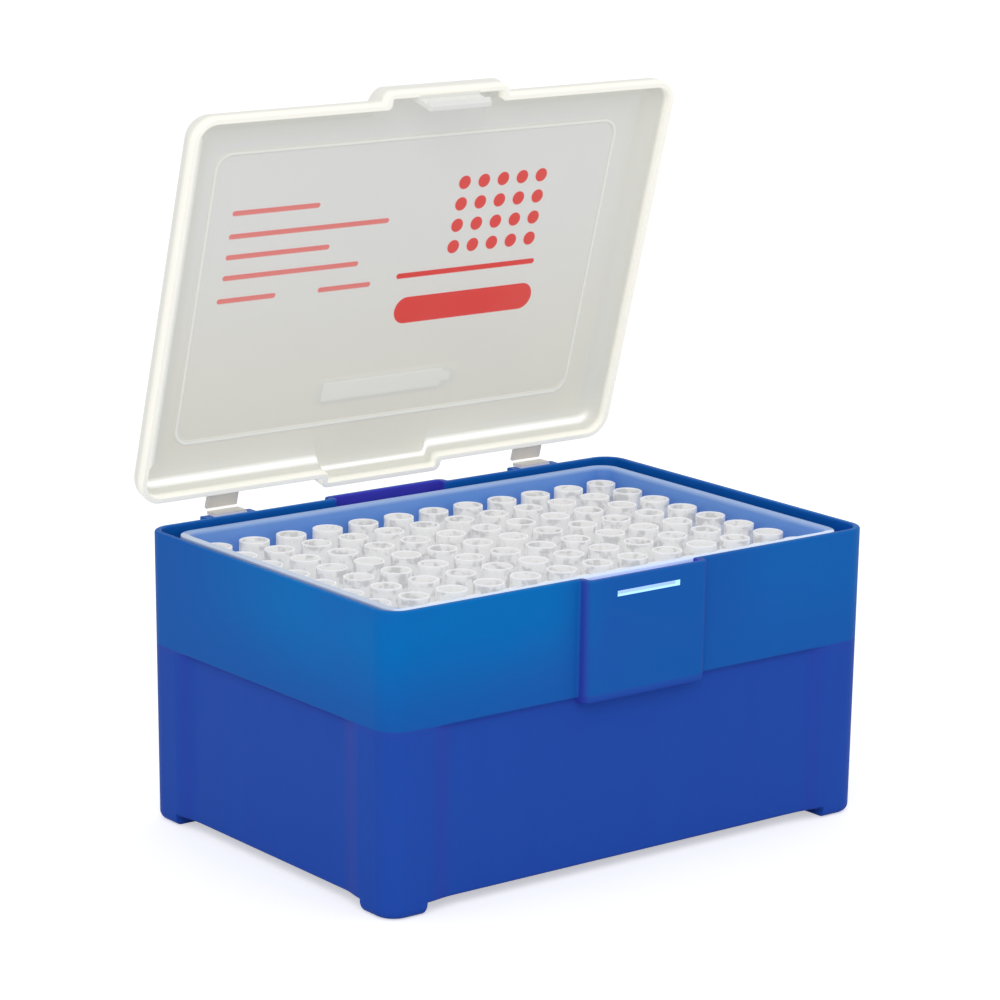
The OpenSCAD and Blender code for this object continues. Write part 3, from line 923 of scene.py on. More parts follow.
def base_section(s):
    """Section curves of the base from the middle of its underside out, up the outside, over
    the rim, down the inside and back to the middle of its floor."""
    def leaning(inset, z):
        """A curve at its inset on top of the side's lean."""
        return inset + lean(z, s.draft), z

    def upwards(height, rise, first, last):
        """Heights up the outside of a level step, and the share of its rise at each."""
        _, at, level = falling_step(-height, rise, first, last)
        return -at[::-1], level[::-1]

    def downwards(height, rise, soft=0.3 * MM):
        """Heights down the inside of a level step, and the share of its rise at each."""
        _, at, level = falling_step(-height, rise, soft, soft)
        return -at, 1 - level

    section = Section()
    wall, recess, bulge = s.wall, s.recess, s.bulge_out
    foot, ledge = s.foot, RIM - s.panel_drop
    foot_bend, bend, edge, inner_edge = 0.8 * MM, 1.0 * MM, 0.45 * MM, 0.35 * MM
    turn = quarter_turn(8)
    under = np.array([s.column, s.column - 0.03 * MM, s.column - 0.12 * MM, s.column - 0.5 * MM,
                      7.0 * MM, 4.4 * MM])
    under_z = np.array([foot, 0.6 * MM, 0.12 * MM, 0.0, 0.0, 0.0])
    section.add((under, under_z), (under, foot), (under, foot), 1.0, 0.0)
    z_foot = s.foot_round * (1 - np.cos(turn))
    panel = leaning(recess + foot_bend * (1 - np.sin(turn)), foot + foot_bend * (1 - np.cos(turn)))
    section.add(leaning(s.foot_round * (1 - np.sin(turn)), z_foot), panel, panel, 1.0, 0.0)
    bulge_z = ledge - s.bulge_below
    z = np.array([foot + 1.4 * MM, 12.0 * MM, 24.0 * MM, bulge_z - 2.0 * MM, bulge_z - 0.7 * MM])
    section.add(leaning(0.0, z), leaning(recess, z), leaning(recess, z), 1.0, 0.0)
    at, level = upwards(bulge_z, recess + bulge, 0.8 * MM, 0.3 * MM)
    z = np.linspace(bulge_z - 0.4 * MM, bulge_z + 0.5 * MM, at.size)
    section.add(leaning(0.0, z), leaning(recess, z),
                leaning(recess - level * (recess + bulge), at), 1.0, level)
    at, level = upwards(ledge, recess, 0.45 * MM, 0.35 * MM)
    z = np.linspace(at[0], at[-1], at.size)
    z_bulge = np.linspace(bulge_z + 0.95 * MM, bulge_z + 1.9 * MM, at.size)
    section.add(leaning(0.0, z), leaning(recess * (1 - level), at), leaning(-bulge, z_bulge),
                1 - level, 1.0)
    slot_low = RIM - s.slot_drop - s.slot_height / 2
    slot_high = slot_low + s.slot_height
    band = np.array([ledge + 1.4 * MM, ledge + 8 * MM, slot_low - 2.5 * MM,
                     slot_low - BESIDE_SLOT, slot_low, slot_high, slot_high + BESIDE_SLOT,
                     RIM - 0.7 * MM])
    section.add(leaning(0.0, band), leaning(0.0, band), leaning(-bulge, band), 0.0, 1.0)
    turn = quarter_turn(5)
    inset, z = edge * (1 - np.cos(turn)), RIM - edge + edge * np.sin(turn)
    section.add((inset, z), (inset, z), (inset - bulge, z), 0.0, 1.0)
    inset, z = wall - inner_edge * (1 - np.sin(turn)), RIM - inner_edge * (1 - np.cos(turn))
    section.add((inset, z), (inset, z), (inset - bulge, z), 0.0, 1.0, 1)
    z = np.append(band[:0:-1], ledge + 3.2 * MM)
    section.add(leaning(wall, z), leaning(wall, z), leaning(wall - bulge, z), 0.0, 1.0, 1)
    shelf = ledge + wall
    at, level = downwards(shelf, recess)
    z = np.linspace(at[0], at[-1], at.size)
    z_bulge = np.linspace(shelf + 0.3 * MM, shelf - 0.3 * MM, at.size)
    section.add(leaning(wall, z), leaning(wall + recess * level, at),
                leaning(wall - bulge, z_bulge), level, 1.0, 1)
    at, level = downwards(bulge_z + wall, recess + bulge)
    z = np.linspace(shelf - 0.6 * MM, shelf - 1.6 * MM, at.size)
    section.add(leaning(wall, z), leaning(wall + recess, z),
                leaning(wall - bulge + level * (recess + bulge), at), 1.0, 1 - level, 1)
    turn = quarter_turn(6)
    floor = foot + wall
    z = np.array([33.0, 20.0, 8.0]) * MM
    panel = leaning(wall + recess, z)
    section.add(leaning(wall, z), panel, panel, 1.0, 0.0, 1)
    step_in, height = wall + bend * (1 - np.cos(turn)), bend * (1 - np.sin(turn))
    panel = leaning(recess + step_in, floor + height)
    section.add(leaning(step_in, wall + height), panel, panel, 1.0, 0.0, 1)
    inner_column = s.column - wall
    over = np.array([5.5 * MM, 7.0 * MM, inner_column - 0.4 * MM, inner_column - 0.1 * MM,
                     inner_column])
    over_z = np.array([wall, wall, wall, wall + 0.3 * MM, floor])
    section.add((over, over_z), (over, floor), (over, floor), 1.0, 0.0, 1)
    return section, slot_low, slot_high


def base_shell(s):
    """The base as one closed surface: three section curves spread round two tracks, with the
    latch slot left out of both skins and walled in, and flat grids closing both middles."""
    outer, inner, hold_outer, hold_inner = base_tracks(s)
    section, slot_low, slot_high = base_section(s)
    half = (HALF_LENGTH, half_width(s))
    full = (half[0] - s.radius, half[1] - s.radius)
    points, rows, panel_share, bulge_share, is_inner = section.skins(
        outer, inner, half, lambda rows: np.maximum(s.radius - rows[:, 0], 0.0),
        ((*hold_outer, *full), (*hold_inner, *full)))
    # Painted shade for the edge attribute: strongest half-way up each step, on the panels' rise to
    # the columns, the bulge's sides and the ledges.
    share_of_step = 4 * outer.rise * (1 - outer.rise) * panel_share[:, None]
    share_of_bulge = 4 * outer.bulge * (1 - outer.bulge) * bulge_share[:, None]
    level = 4 * panel_share * (1 - panel_share) + 4 * bulge_share * (1 - bulge_share)
    edge_shade = np.clip(share_of_step * 0.35 + share_of_bulge + level[:, None] * 0.5, 0, 1)
    front = outer.part == 3
    columns = np.flatnonzero(front & (np.abs(outer.flat) < s.slot_half + NEAR))
    low = np.flatnonzero(np.abs(rows[:, 5] - slot_low) < NEAR)
    high = np.flatnonzero(np.abs(rows[:, 5] - slot_high) < NEAR)
    skip = np.zeros((points.shape[0] - 1, outer.count), bool)
    first, last = columns[0], columns[-1]
    skip[low[0]:high[0], first:last] = True
    skip[high[1]:low[1], first:last] = True
    (low_out, low_in), (high_out, high_in) = (
        [points[row, first:last + 1] for row in level] for level in (low, high))
    sides = [(low_out, low_in), (high_in, high_out)] + [
        (np.stack([a_out[end], b_out[end]]), np.stack([a_in[end], b_in[end]]))
        for end, a_out, b_out, a_in, b_in in ((0, high_out, low_out, high_in, low_in),
                                              (-1, low_out, high_out, low_in, high_in))]
    kind = np.where(is_inner[:-1], INSIDE, OUTSIDE)
    grids = [grid_of(points, wrap_columns=True, skip=skip, kind=kind, values=edge_shade)]
    grids += [grid_of(np.stack(pair), kind=SLOT) for pair in sides]
    inner_column = s.column - s.wall
    grids.append(capped(points[0], outer, half[0] - s.column, half[1] - s.column, s.foot, False))
    grids.append(capped(points[-1], inner, half[0] - inner_column, half[1] - inner_column,
                        s.foot + s.wall, True, INSIDE))
    return put_mesh("base_shell", grids, attribute="edge")


class TIPBOX_OT_base(bpy.types.Operator):
    """Builds the base's shell with its feet, set-back panels, latch bulges and slot"""

    bl_idname = "tipbox.base"
    bl_label = "Base"

    def execute(self, context):
        s = context.scene.tipbox_base
        shell = base_shell(s)
        finish_piece(shell, "base",
                     [blue_plastic(s), blue_inside(s), slot_light(s)], ["box_base"])
        return {"FINISHED"}


# ---------------------------------------------------------------- rack


def rack_frame(s, rows, base):
    """Walls, lip and foot flange of the rack: one closed section carried round the lip's
    outline, its corner centres fixed and the flange drawn out to its own length."""
    half = (len(COLUMNS) * s.pitch / 2 + s.lip_margin, rows * s.pitch / 2 + s.lip_margin)
    top, low, inner = RACK_HIGH.z, RACK_LOW.z, s.lip_margin
    outer = inner - s.wall
    flange = half[1] - RACK_HIGH.y
    loop = rounded_loop([(inner, low), (inner, top), (0.0, top), (0.0, top - s.lip),
                         (outer, top - s.lip), (outer, low + s.lip), (flange, low + s.lip),
                         (flange, low)],
                        np.array([0.3, 0.35, 0.3, 0.3, 0.25, 0.25, 0.3, 0.3]) * MM, 5)
    track = Track(*(plain_half(np.array(places) * MM) for places in
                    ((0, 12, 24, 36, 48), (0, 10, 20, 30))))
    out = loop[:, 0] < -0.1 * MM
    radius = np.where(out, base.radius - (HALF_LENGTH - RACK_HIGH.x), s.radius - loop[:, 0])
    size = (len(loop), track.count)
    inset, z = (np.broadcast_to(loop[:, i:i + 1], size) for i in (0, 1))
    blank = np.zeros(len(loop))
    points = track.surface(half, radius, inset, z, blank, blank)
    longer = (RACK_HIGH.x - half[0]) - (RACK_HIGH.y - half[1])
    points[..., 0] += np.sign(points[..., 0]) * longer * out[:, None]
    return put_mesh("rack_frame", [grid_of(points[::-1], wrap_rows=True, wrap_columns=True)])


def rack_deck(s, rows, deck_top):
    """Perforated deck: each cell runs from its square edge to its round hole, down the hole
    and back to the square edge underneath; strips close the slab's sides."""
    turns = 24
    angle = np.arange(turns) * 2 * np.pi / turns
    direction = np.stack([np.cos(angle), np.sin(angle)], 1)
    square = direction / np.abs(direction).max(1, keepdims=True) * s.pitch / 2
    soft = 0.15 * MM
    rings = [(square, 0.0), (direction * (s.hole + soft), 0.0),
             (direction * (s.hole + soft * 0.3), -soft * 0.3), (direction * s.hole, -soft),
             (direction * s.hole, soft - s.deck), (direction * (s.hole + soft), -s.deck),
             (square, -s.deck)]
    cell = np.stack([np.concatenate([xy, np.full((turns, 1), deck_top + dz)], 1)
                     for xy, dz in rings])
    cells_x = (np.arange(len(COLUMNS)) - (len(COLUMNS) - 1) / 2) * s.pitch
    cells_y = (np.arange(rows) - (rows - 1) / 2) * s.pitch
    half_x, half_y = len(COLUMNS) * s.pitch / 2, rows * s.pitch / 2
    cells = np.stack([cell + np.array([cx, cy, 0.0]) for cx in cells_x for cy in cells_y])
    reach = 0.1 * MM
    for axis, half in ((0, half_x), (1, half_y)):
        on_edge = np.abs(np.abs(cells[..., axis]) - half) < NEAR
        cells[..., axis] += np.sign(cells[..., axis]) * on_edge * reach
    pieces = [grid_of(g, wrap_columns=True) for g in cells]
    offsets = np.array([-1.0, -math.tan(math.pi / 6), -math.tan(math.pi / 12), 0.0,
                        math.tan(math.pi / 12), math.tan(math.pi / 6), 1.0]) * s.pitch / 2
    xs = np.unique(np.round((cells_x[:, None] + offsets[None]).reshape(-1), 9))
    ys = np.unique(np.round((cells_y[:, None] + offsets[None]).reshape(-1), 9))
    xs[[0, -1]] += np.array([-reach, reach])
    ys[[0, -1]] += np.array([-reach, reach])
    z = np.array([deck_top - s.deck, deck_top])
    for side in (-1, 1):
        for axis, places, half in ((0, xs, half_y), (1, ys, half_x)):
            heights = z if (side < 0) == (axis == 0) else z[::-1]
            wall = np.empty((2, places.size, 3))
            wall[..., axis], wall[..., 1 - axis] = places, side * (half + reach)
            wall[..., 2] = heights[:, None]
            pieces.append(grid_of(wall))
    return put_mesh("rack_deck", pieces)


class TIPBOX_OT_rack(bpy.types.Operator):
    """Builds the rack insert: its lipped walls and its perforated deck"""

    bl_idname = "tipbox.rack"
    bl_label = "Rack"

    def execute(self, context):
        s = context.scene.tipbox_rack
        tips = context.scene.tipbox_tips
        walls = rack_frame(s, tips.rows, context.scene.tipbox_base)
        finish_piece(walls, "base", [rack_plastic(s)], ["rack_insert"])
        deck = rack_deck(s, tips.rows, TIP_HIGH.z - tips.collar_height)
        finish_piece(deck, "base", [deck_plastic()])
        return {"FINISHED"}


# ---------------------------------------------------------------- tips


def one_tip(s):
    """A tip about the Z axis: a closed section of radius and height turned round, with shallow
    grooves along the collar between its ribs."""
    mouth, point = TIP_HIGH.z, TIP_LOW.z
    deck, waist_z, slim = mouth - s.collar_height, point + s.waist_height, s.wall
    section = np.array([
        (s.socket + 0.12 * MM, mouth - 0.02 * MM, 0), (s.socket + 0.2 * MM, mouth, 0),
        (s.collar - 0.15 * MM, mouth, 0), (s.collar - 0.03 * MM, mouth - 0.06 * MM, 0),
        (s.collar, mouth - 0.25 * MM, 0), (s.collar, mouth - 1.0 * MM, 0),
        (s.collar, mouth - 1.25 * MM, 1), (s.collar, deck + 0.5 * MM, 1),
        (s.collar, deck + 0.35 * MM, 0), (s.collar, deck, 0),
        (s.body, deck - 0.05 * MM, 0), (s.waist, waist_z, 0), (s.point, point, 0),
        (s.orifice, point, 0), (s.waist - slim, waist_z, 0), (s.body - slim, deck, 0),
        (s.socket, mouth - 4.0 * MM, 0), (s.socket, mouth - 0.25 * MM, 0)])
    turns = 48
    angle = np.arange(turns) * 2 * np.pi / turns
    groove = np.array([0.0, 0.35, 1.0, 0.35])[np.arange(turns) % 4]
    radius = section[:, :1] - s.rib * section[:, 2:] * groove[None]
    x, y = radius * np.cos(angle), radius * np.sin(angle)
    z = np.broadcast_to(section[:, 1:2], x.shape)
    return np.stack([x, y, z], -1)[::-1]


class TIPBOX_OT_tips(bpy.types.Operator):
    """Builds the tips, one piece for each column of them"""

    bl_idname = "tipbox.tips"
    bl_label = "Tips"

    def execute(self, context):
        s = context.scene.tipbox_tips
        pitch = context.scene.tipbox_rack.pitch
        material = tip_plastic(s)
        tip = one_tip(s)
        for node in COLUMNS:
            low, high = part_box(node)
            x = (low.x + high.x) / 2
            places = (np.arange(s.rows) - (s.rows - 1) / 2) * pitch
            grids = [grid_of(tip + np.array([x, y, 0.0]), True, True) for y in places]
            column = put_mesh(node.replace("tips_column", "tips_row"), grids)
            finish_piece(column, "base", [material], [node])
        return {"FINISHED"}


# ---------------------------------------------------------------- lid


PANEL_INSET = 14.0 * MM  # from the lid's outline to the flat grid that closes its panel
FLAT_INSET = 8.2 * MM  # the same to the first place on the flat panel
PILL = ((0.5, 24.2), 15.0, 2.9, 0.7)  # the plate's middle, half core, radius and slope in mm
PILL_HEIGHT = 0.3 * MM
# Greatest painted light value on the outside, the bead and the plate; what passes 1 is a painted
# highlight.
LIGHT_OUTSIDE, LIGHT_BEAD, LIGHT_PILL = 1.15, 1.22, 1.1111


def lid_tracks(s, base):
    """Samples round the lid's outside and inside."""
    def make(edge, step):
        long_half = half_side([("bulge", edge, base.bulge_out, *step)], (16, 13), True,
                              anchor=HALF_LENGTH - PANEL_INSET)
        long_half[3][:] = 0.0
        short = np.concatenate([np.linspace(0, 19.0, 8), np.arange(20.2, 27.3, 0.6)]) * MM
        short = np.append(short, half_width(base) - PANEL_INSET)
        return Track(long_half, plain_half(short), 12)

    return make(base.bulge_half, BULGE_STEP), make(base.bulge_half - s.wall, LID_STEP_INSIDE)


def lid_section(s, base):
    """Section curves of the closed lid from the middle of its outer face, round the skirt and
    its free edge, to the middle of its inner face."""
    section, radii = Section(), []
    edge, top = RIM + s.gap, RIM + s.gap + s.depth
    inner_top = top - s.wall
    turn, small = quarter_turn(11), quarter_turn(5)
    soft, beside_bead = 0.3 * MM, 0.15 * MM

    def add(inset, z, share_out, radius, inner=0, bulge=None):
        inset, z = np.broadcast_arrays(np.atleast_1d(inset), np.atleast_1d(z))
        bulge_inset, bulge_z = (inset, z) if bulge is None else bulge
        section.add((inset, z), (inset, z), (bulge_inset - base.bulge_out * share_out, bulge_z),
                    0.0, share_out, inner)
        radii.append(np.broadcast_to(np.asarray(radius, float), inset.shape))

    def outer_round(size):
        return size * (1 - np.sin(turn)), top - size * (1 - np.cos(turn))

    def inner_round(size):
        bend = size - s.wall
        return size - bend * np.cos(turn), inner_top - bend + bend * np.sin(turn)

    add(np.array([PANEL_INSET, FLAT_INSET]), top, 0.0, np.array([0.0, 0.3]) * MM)
    inset, z = outer_round(s.round)
    add(inset, z, 1.0, base.radius - inset, 0, outer_round(s.bulge_round))
    add(0.0, edge + 0.4 * MM, 1.0, base.radius)
    inset = soft * (1 - np.cos(small))
    add(inset, edge + soft * (1 - np.sin(small)), 1.0, base.radius - inset)
    inset = s.wall - soft * (1 - np.sin(small))
    add(inset, edge + soft * (1 - np.cos(small)), 1.0, base.radius - inset, 1)
    add(s.wall, edge + 0.5 * MM, 1.0, base.radius - s.wall, 1)
    inset, z = inner_round(s.round)
    add(inset, z, 1.0, base.radius - inset, 1, inner_round(s.bulge_round))
    add(FLAT_INSET, inner_top, 0.0, 2.4 * MM, 1)
    across = np.linspace(0.0, 1.0, 11)
    inset = s.bead_inset + s.bead_width * across
    hump = s.bead_height * np.sin(np.pi * across) ** 0.7
    add(s.bead_inset - beside_bead, inner_top, 0.0, s.bead_radius + beside_bead, 1)
    add(inset, inner_top - hump, 0.0, s.bead_radius - (inset - s.bead_inset), 1)
    add(s.bead_inset + s.bead_width + beside_bead, inner_top, 0.0,
        s.bead_radius - s.bead_width - beside_bead, 1)
    add(np.array([11.6 * MM, PANEL_INSET]), inner_top, 0.0, np.array([2.0, 0.0]) * MM, 1)
    return section, np.concatenate(radii)


def pill_share(x, y):
    """Share of its height that a low rounded plate has at a place: a smooth step of the
    distance to a straight core."""
    (middle_x, middle_y), core, radius, slope = PILL
    across = np.maximum(np.abs(x - middle_x * MM) - core * MM, 0.0)
    t = np.clip((radius * MM - np.hypot(across, y - middle_y * MM)) / (slope * MM), 0.0, 1.0)
    return t * t * (3 - 2 * t)


def lid_shell(s, base):
    """The lid as one closed surface, made closed and turned open."""
    outer, inner = lid_tracks(s, base)
    section, radius = lid_section(s, base)
    half = (HALF_LENGTH, half_width(base))
    points, rows, _, _, is_inner = section.skins(outer, inner, half, lambda rows: radius)
    top = RIM + s.gap + s.depth
    corner = (half[0] - PANEL_INSET, half[1] - PANEL_INSET)
    depth_in = rows[:, 0]
    # Painted light for the attribute: the share of the skirt and its rounding, painted paler, and a
    # painted highlight on the bead.
    hump = np.clip((top - s.wall - rows[:, 1]) / s.bead_height, 0.0, 1.0)
    hump = hump ** 0.5 * (depth_in > s.bead_inset - 0.1 * MM)
    fade = 1.2 * MM
    thick = np.clip((s.round + fade / 2 - depth_in) / fade, 0.0, 1.0)
    thick = np.where(is_inner, np.maximum(thick, LIGHT_BEAD * hump), LIGHT_OUTSIDE * thick)
    # Painted highlights along the inside: half-way round the rear rounding and where the left
    # rounding meets the panel.
    rear = np.clip(np.sin(outer.angle), 0.0, 1.0) ** 2
    left = np.clip(-np.cos(outer.angle), 0.0, 1.0) ** 2
    middle = s.round - (s.round - s.wall) * math.cos(math.pi / 4)

    def line_at(place, reach):
        """Painted highlight line along the inside, strongest at its place."""
        return np.clip(1 - np.abs(depth_in - place) / reach, 0.0, 1.0)[:, None]

    thick = thick[:, None] + is_inner[:, None] * (
        rear * line_at(middle, 0.7 * MM) + left * line_at(s.round, 0.6 * MM))
    grids = [grid_of(points[::-1], wrap_columns=True, values=thick[::-1]),
             capped(points[0], outer, *corner, top, True),
             capped(points[-1], inner, *corner, top - s.wall, False,
                    lift=lambda x, y: -PILL_HEIGHT * pill_share(x, y),
                    values=lambda x, y: LIGHT_PILL * pill_share(x, y))]
    return put_mesh("lid_shell", [opened(g) for g in grids], attribute="thick")


def lid_fittings(s, base, h):
    """Latch tongue and hinge straps of the lid: outlines in Y and Z carried along X."""
    edge, top = RIM + s.gap, RIM + s.gap + s.depth
    face_gap, catch, slot_play, thickness, step = (v * MM for v in (0.2, 0.45, 0.15, 1.0, 1.0))
    wall_face = BASE_LOW.y + base.wall
    outer, hook = wall_face + face_gap, wall_face - catch
    slot_z = RIM - base.slot_drop
    hook_half = base.slot_height / 2 - slot_play

    def wall_z(y):
        """Height of the middle of the bulge's rounded wall."""
        past = max(0.0, -y - (-BASE_LOW.y - s.bulge_round))
        return top - s.bulge_round + math.sqrt((s.bulge_round - s.wall / 2) ** 2 - past ** 2)

    back, root = outer + thickness, wall_face - base.wall + s.wall / 2
    tongue = [(back, wall_z(back)), (back, slot_z - 2 * hook_half),
              (outer, slot_z - 2 * hook_half), (outer, slot_z - hook_half), (hook, slot_z),
              (hook, slot_z + hook_half), (outer, slot_z + hook_half), (outer, edge),
              (root, edge), (root, edge + step), (outer, edge + 2 * step),
              (outer, wall_z(outer))]
    grid, caps = carried_profile(tongue, 0.0, 2 * (base.slot_half - slot_play), 0.1 * MM)
    pieces = [("lid_latch_tongue", [grid], caps)]
    start, end, low = half_width(base) - s.wall / 2, HINGE_Y - h.film_gap, HINGE_Z + h.film_gap
    strap = [(start, low), (end, low), (end, low + h.strap), (start, low + h.strap)]
    for side, word in SIDES:
        grid, caps = carried_profile(strap, side * h.x, h.strap_width, STRAP_ROUND)
        pieces.append((f"lid_strap_{word}", [grid], caps))
    return [put_mesh(name, [opened(g) for g in grids], [(turned_open(r), k) for r, k in caps])
            for name, grids, caps in pieces]


class TIPBOX_OT_lid(bpy.types.Operator):
    """Builds the lid's shell, its latch tongue and its hinge straps"""

    bl_idname = "tipbox.lid"
    bl_label = "Lid"

    def execute(self, context):
        scene = context.scene
        s, base, h = scene.tipbox_lid, scene.tipbox_base, scene.tipbox_hinges
        finish_piece(lid_shell(s, base), "lid", [lid_plastic(s)], ["lid"])
        tongue, *straps = lid_fittings(s, base, h)
        clear = fitting_plastic("tongue_milky", s.panel, 0.1, 0.16)
        finish_piece(tongue, "lid", [clear])
        strap = fitting_plastic("strap_milky", h.strap_tint, 0.2)
        for piece in straps:
            finish_piece(piece, "lid", [strap])
        return {"FINISHED"}


# ---------------------------------------------------------------- hinges


class TIPBOX_OT_hinges(bpy.types.Operator):
    """Builds the lugs, the clip blocks with their straps, and the films between the straps"""

    bl_idname = "tipbox.hinges"
    bl_label = "Hinges"

    def execute(self, context):
        scene = context.scene
        base, h = scene.tipbox_base, scene.tipbox_hinges
        blue = bpy.data.materials["base_blue_inside"]
        strap_milky = bpy.data.materials["strap_milky"]
        clip_milky = fitting_plastic("clip_milky", h.clip_tint, 0.25)
        # The film is painted near-white, partly a painted highlight, with a painted glow.
        film_white = fitting_plastic("film_white", h.film_tint, 0.1, 0.3)
        rear = half_width(base)
        tip = -BASE_LOW.y
        root = rear - base.wall / 2
        lug_top = RIM - 0.02 * MM
        lug = [(root, lug_top), (tip, lug_top), (tip, RIM - h.lug_height + base.bulge_out),
               (root, RIM - h.lug_height - base.wall / 2)]
        offset = h.clip_width / 2 + h.play + h.lug_width / 2
        front = rear + h.play
        strap_top = HINGE_Z - h.film_gap
        block = [(front, RIM - h.clip_height), (tip, RIM - h.clip_height),
                 (tip, strap_top - h.strap / 2), (front, strap_top - h.strap / 2)]
        start, end, strap_low = front + h.film_gap, HINGE_Y - h.film_gap, strap_top - h.strap
        strap = [(start, strap_low), (end, strap_low), (end, strap_top), (start, strap_top)]
        for side, word in SIDES:
            x = side * h.x
            lugs = [carried_profile(lug, x + step * offset, h.lug_width, 0.25 * MM)
                    for step in (-1, 1)]
            lugs = put_mesh(f"hinge_lugs_{word}", [grid for grid, _ in lugs],
                            [cap for _, caps in lugs for cap in caps])
            finish_piece(lugs, "base", [blue])
            block_grid, caps = carried_profile(block, x, h.clip_width, 0.2 * MM)
            grid, ends = carried_profile(strap, x, h.strap_width, STRAP_ROUND)
            strap_grid = grid_of(grid[0], wrap_columns=True, kind=1)
            clip = put_mesh(f"hinge_clip_{word}", [block_grid, strap_grid],
                            caps + [(ring, 1) for ring, _ in ends])
            finish_piece(clip, "base", [clip_milky, strap_milky],
                         [f"hinge_anchor_{word}"])
            self.film(x, word, h, film_white)
        return {"FINISHED"}

    def film(self, x, word, h, material):
        """Film across the hinge line: a thin strip bent from the lower strap's end up to the
        turned upper strap's end, along a parabola through the hinge line."""
        c, s = math.cos(OPEN_ANGLE), math.sin(OPEN_ANGLE)
        lap, sunk, bow_out, bow_down = (v * MM for v in (0.1, 0.05, 0.22, 0.12))
        dy, dz = -h.film_gap - lap, h.film_gap + h.film / 2 + sunk
        low = np.array([HINGE_Y + dy, HINGE_Z - dz])
        high = np.array([HINGE_Y + c * dy + s * dz, HINGE_Z - s * dy + c * dz])
        middle = np.array([HINGE_Y + bow_out, HINGE_Z - bow_down])
        t = np.linspace(0.0, 1.0, 9)[:, None]
        path = low * (1 - t) ** 2 + 2 * middle * t * (1 - t) + high * t ** 2
        ahead = 2 * (middle - low) * (1 - t) + 2 * (high - middle) * t
        ahead /= np.linalg.norm(ahead, axis=1, keepdims=True)
        normal = np.stack([ahead[:, 1], -ahead[:, 0]], 1)
        half = h.film / 2
        sides = [path + normal * half, path - normal * half]
        loop = np.concatenate([sides[0], sides[1][::-1]])
        reach = h.strap_width / 2 - lap
        grid = np.stack([np.concatenate([np.full((len(loop), 1), end), loop], 1)
                         for end in (x - reach, x + reach)])
        piece = put_mesh(f"hinge_film_{word}", [grid_of(grid, wrap_columns=True)],
                         [(grid[0][::-1], 0), (grid[1], 0)])
        piece.data.materials.append(material)
        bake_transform(piece)


# ---------------------------------------------------------------- stage


KEY_PLACE, FILL_PLACE = (-0.72, -0.83, 0.85), (1.0, -0.25, 0.6)  # in metres
LIT_POINT = Vector((0.0, 0.0, 50 * MM))  # what the softboxes face
SENSOR_WIDTH = 36.0  # in millimetres
NEAREST, FURTHEST = 0.01, 50.0  # what the camera sees, in metres


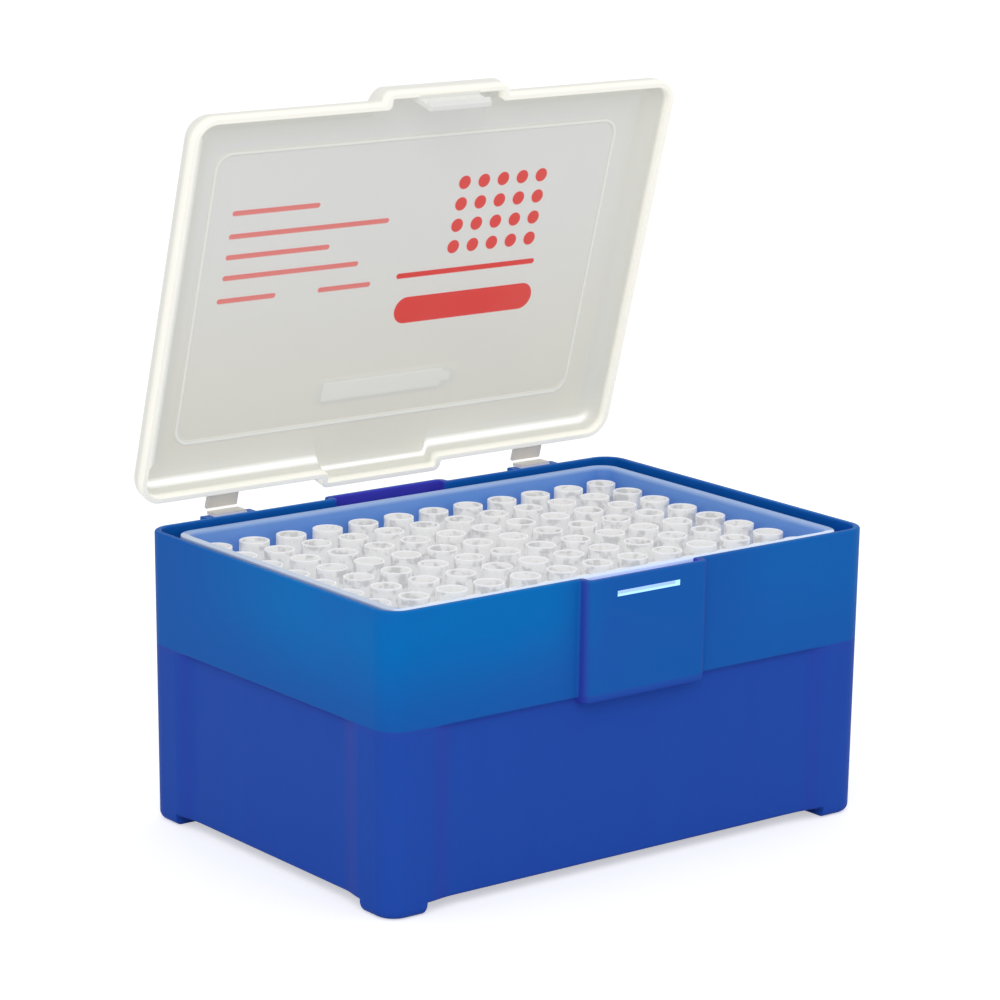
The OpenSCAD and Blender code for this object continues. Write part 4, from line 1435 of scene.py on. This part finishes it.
class TIPBOX_OT_stage(bpy.types.Operator):
    """Builds the floor, the soft lights, the white surroundings and the camera"""

    bl_idname = "tipbox.stage"
    bl_label = "Stage"

    def execute(self, context):
        scene, s = context.scene, context.scene.tipbox_stage
        self.camera(scene, s)
        self.floor(s)
        self.softbox("key_softbox", KEY_PLACE, s.softbox, s.key)
        self.softbox("fill_softbox", FILL_PLACE, s.softbox, s.fill)
        self.surroundings(scene, s)
        scene.view_settings.view_transform = "Standard"
        return {"FINISHED"}

    def camera(self, scene, s):
        """Camera that looks at the aim from its angle round the box, turned by its roll."""
        a, e, r = (math.radians(v) for v in (s.azimuth, s.elevation, s.roll))
        back = Vector((math.sin(a) * math.cos(e), -math.cos(a) * math.cos(e), math.sin(e)))
        right = Vector((math.cos(a), math.sin(a), 0.0))
        up = back.cross(right)
        turned_right = right * math.cos(r) + up * math.sin(r)
        turned_up = up * math.cos(r) - right * math.sin(r)
        aim = Vector((0, 0, s.aim_z)) + turned_right * s.aim_right + turned_up * s.aim_up
        data = bpy.data.cameras.new("camera")
        data.lens, data.sensor_width = s.lens, SENSOR_WIDTH
        data.clip_start, data.clip_end = NEAREST, FURTHEST
        camera = bpy.data.objects.new("camera", data)
        camera.matrix_world = Matrix.Translation(aim + back * s.distance) @ Matrix(
            (turned_right, turned_up, back)).transposed().to_4x4()
        scene.collection.objects.link(camera)
        scene.camera = camera

    def floor(self, s):
        """Pale floor that keeps the shadow: plain white paint, with enough added for what sees
        it directly to read as white."""
        half = s.floor_size / 2
        places = np.linspace(-half, half, 9)
        gx, gy = np.meshgrid(places, places, indexing="ij")
        grid = np.stack([gx, gy, np.full_like(gx, -0.02 * MM)], -1)
        floor = put_mesh("floor", [grid_of(grid[:, ::-1][:, ::-1])])
        n = material_nodes("floor_white")
        place = n.place()
        paper = n.noise(place, 90.0, 2.0)
        paint = n.add("ShaderNodeBsdfDiffuse", inputs={
            "Color": n.mixed(paper, linear((236, 236, 236)), linear((239, 239, 239)))})
        glow = n.add("ShaderNodeEmission",
                     inputs={"Color": (1.0, 1.0, 1.0), "Strength": n.seen_directly() * 0.5})
        n.finish(n.add("ShaderNodeAddShader", inputs={0: paint, 1: glow}))
        floor.data.materials.append(n.owner)

    def softbox(self, name, place, size, power):
        """Square soft light at a place, which faces the box."""
        data = bpy.data.lights.new(name, "AREA")
        data.shape, data.size, data.energy = "SQUARE", size, power
        lamp = bpy.data.objects.new(name, data)
        lamp.location = place
        lamp.rotation_euler = (LIT_POINT - Vector(place)).to_track_quat("-Z", "Y").to_euler()
        bpy.context.scene.collection.objects.link(lamp)

    def surroundings(self, scene, s):
        """Even light from all round, white to whatever sees it directly."""
        n = Nodes(bpy.data.worlds.new("surroundings"))
        strength = n.add("ShaderNodeMapRange", inputs={"Value": n.seen_directly(),
                                                       "To Min": s.sky, "To Max": 1.0})
        n.finish(n.add("ShaderNodeBackground", inputs={"Strength": strength}),
                 "ShaderNodeOutputWorld")
        scene.world = n.owner


# ---------------------------------------------------------------- panel and registration


class TIPBOX_PT_panel(bpy.types.Panel):
    """Lists the pieces and their sizes"""

    bl_label = "Tip Box"
    bl_idname = "TIPBOX_PT_panel"
    bl_space_type = "VIEW_3D"
    bl_region_type = "UI"
    bl_category = "Tip Box"

    def draw(self, context):
        for name, operator, _ in PIECES:
            box = self.layout.box()
            box.operator(operator.bl_idname)
            settings = getattr(context.scene, name)
            for setting in settings.bl_rna.properties.keys():
                if setting not in ("rna_type", "name"):
                    box.prop(settings, setting)


PIECES = (
    ("tipbox_stage", TIPBOX_OT_stage, TIPBOX_PG_stage),
    ("tipbox_base", TIPBOX_OT_base, TIPBOX_PG_base),
    ("tipbox_rack", TIPBOX_OT_rack, TIPBOX_PG_rack),
    ("tipbox_tips", TIPBOX_OT_tips, TIPBOX_PG_tips),
    ("tipbox_lid", TIPBOX_OT_lid, TIPBOX_PG_lid),
    ("tipbox_hinges", TIPBOX_OT_hinges, TIPBOX_PG_hinges),
)


def register():
    """Registers the settings, the operators and the panel."""
    for name, operator, group in PIECES:
        bpy.utils.register_class(group)
        setattr(bpy.types.Scene, name, bpy.props.PointerProperty(type=group))
        bpy.utils.register_class(operator)
    bpy.utils.register_class(TIPBOX_PT_panel)


def unregister():
    """Takes back what register() did."""
    bpy.utils.unregister_class(TIPBOX_PT_panel)
    for name, operator, group in reversed(PIECES):
        bpy.utils.unregister_class(operator)
        delattr(bpy.types.Scene, name)
        bpy.utils.unregister_class(group)


def main():
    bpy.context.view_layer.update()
    register()
    bpy.ops.tipbox.stage()
    bpy.ops.tipbox.base()
    bpy.ops.tipbox.rack()
    bpy.ops.tipbox.tips()
    bpy.ops.tipbox.lid()
    bpy.ops.tipbox.hinges()


if __name__ == "__main__":
    main()
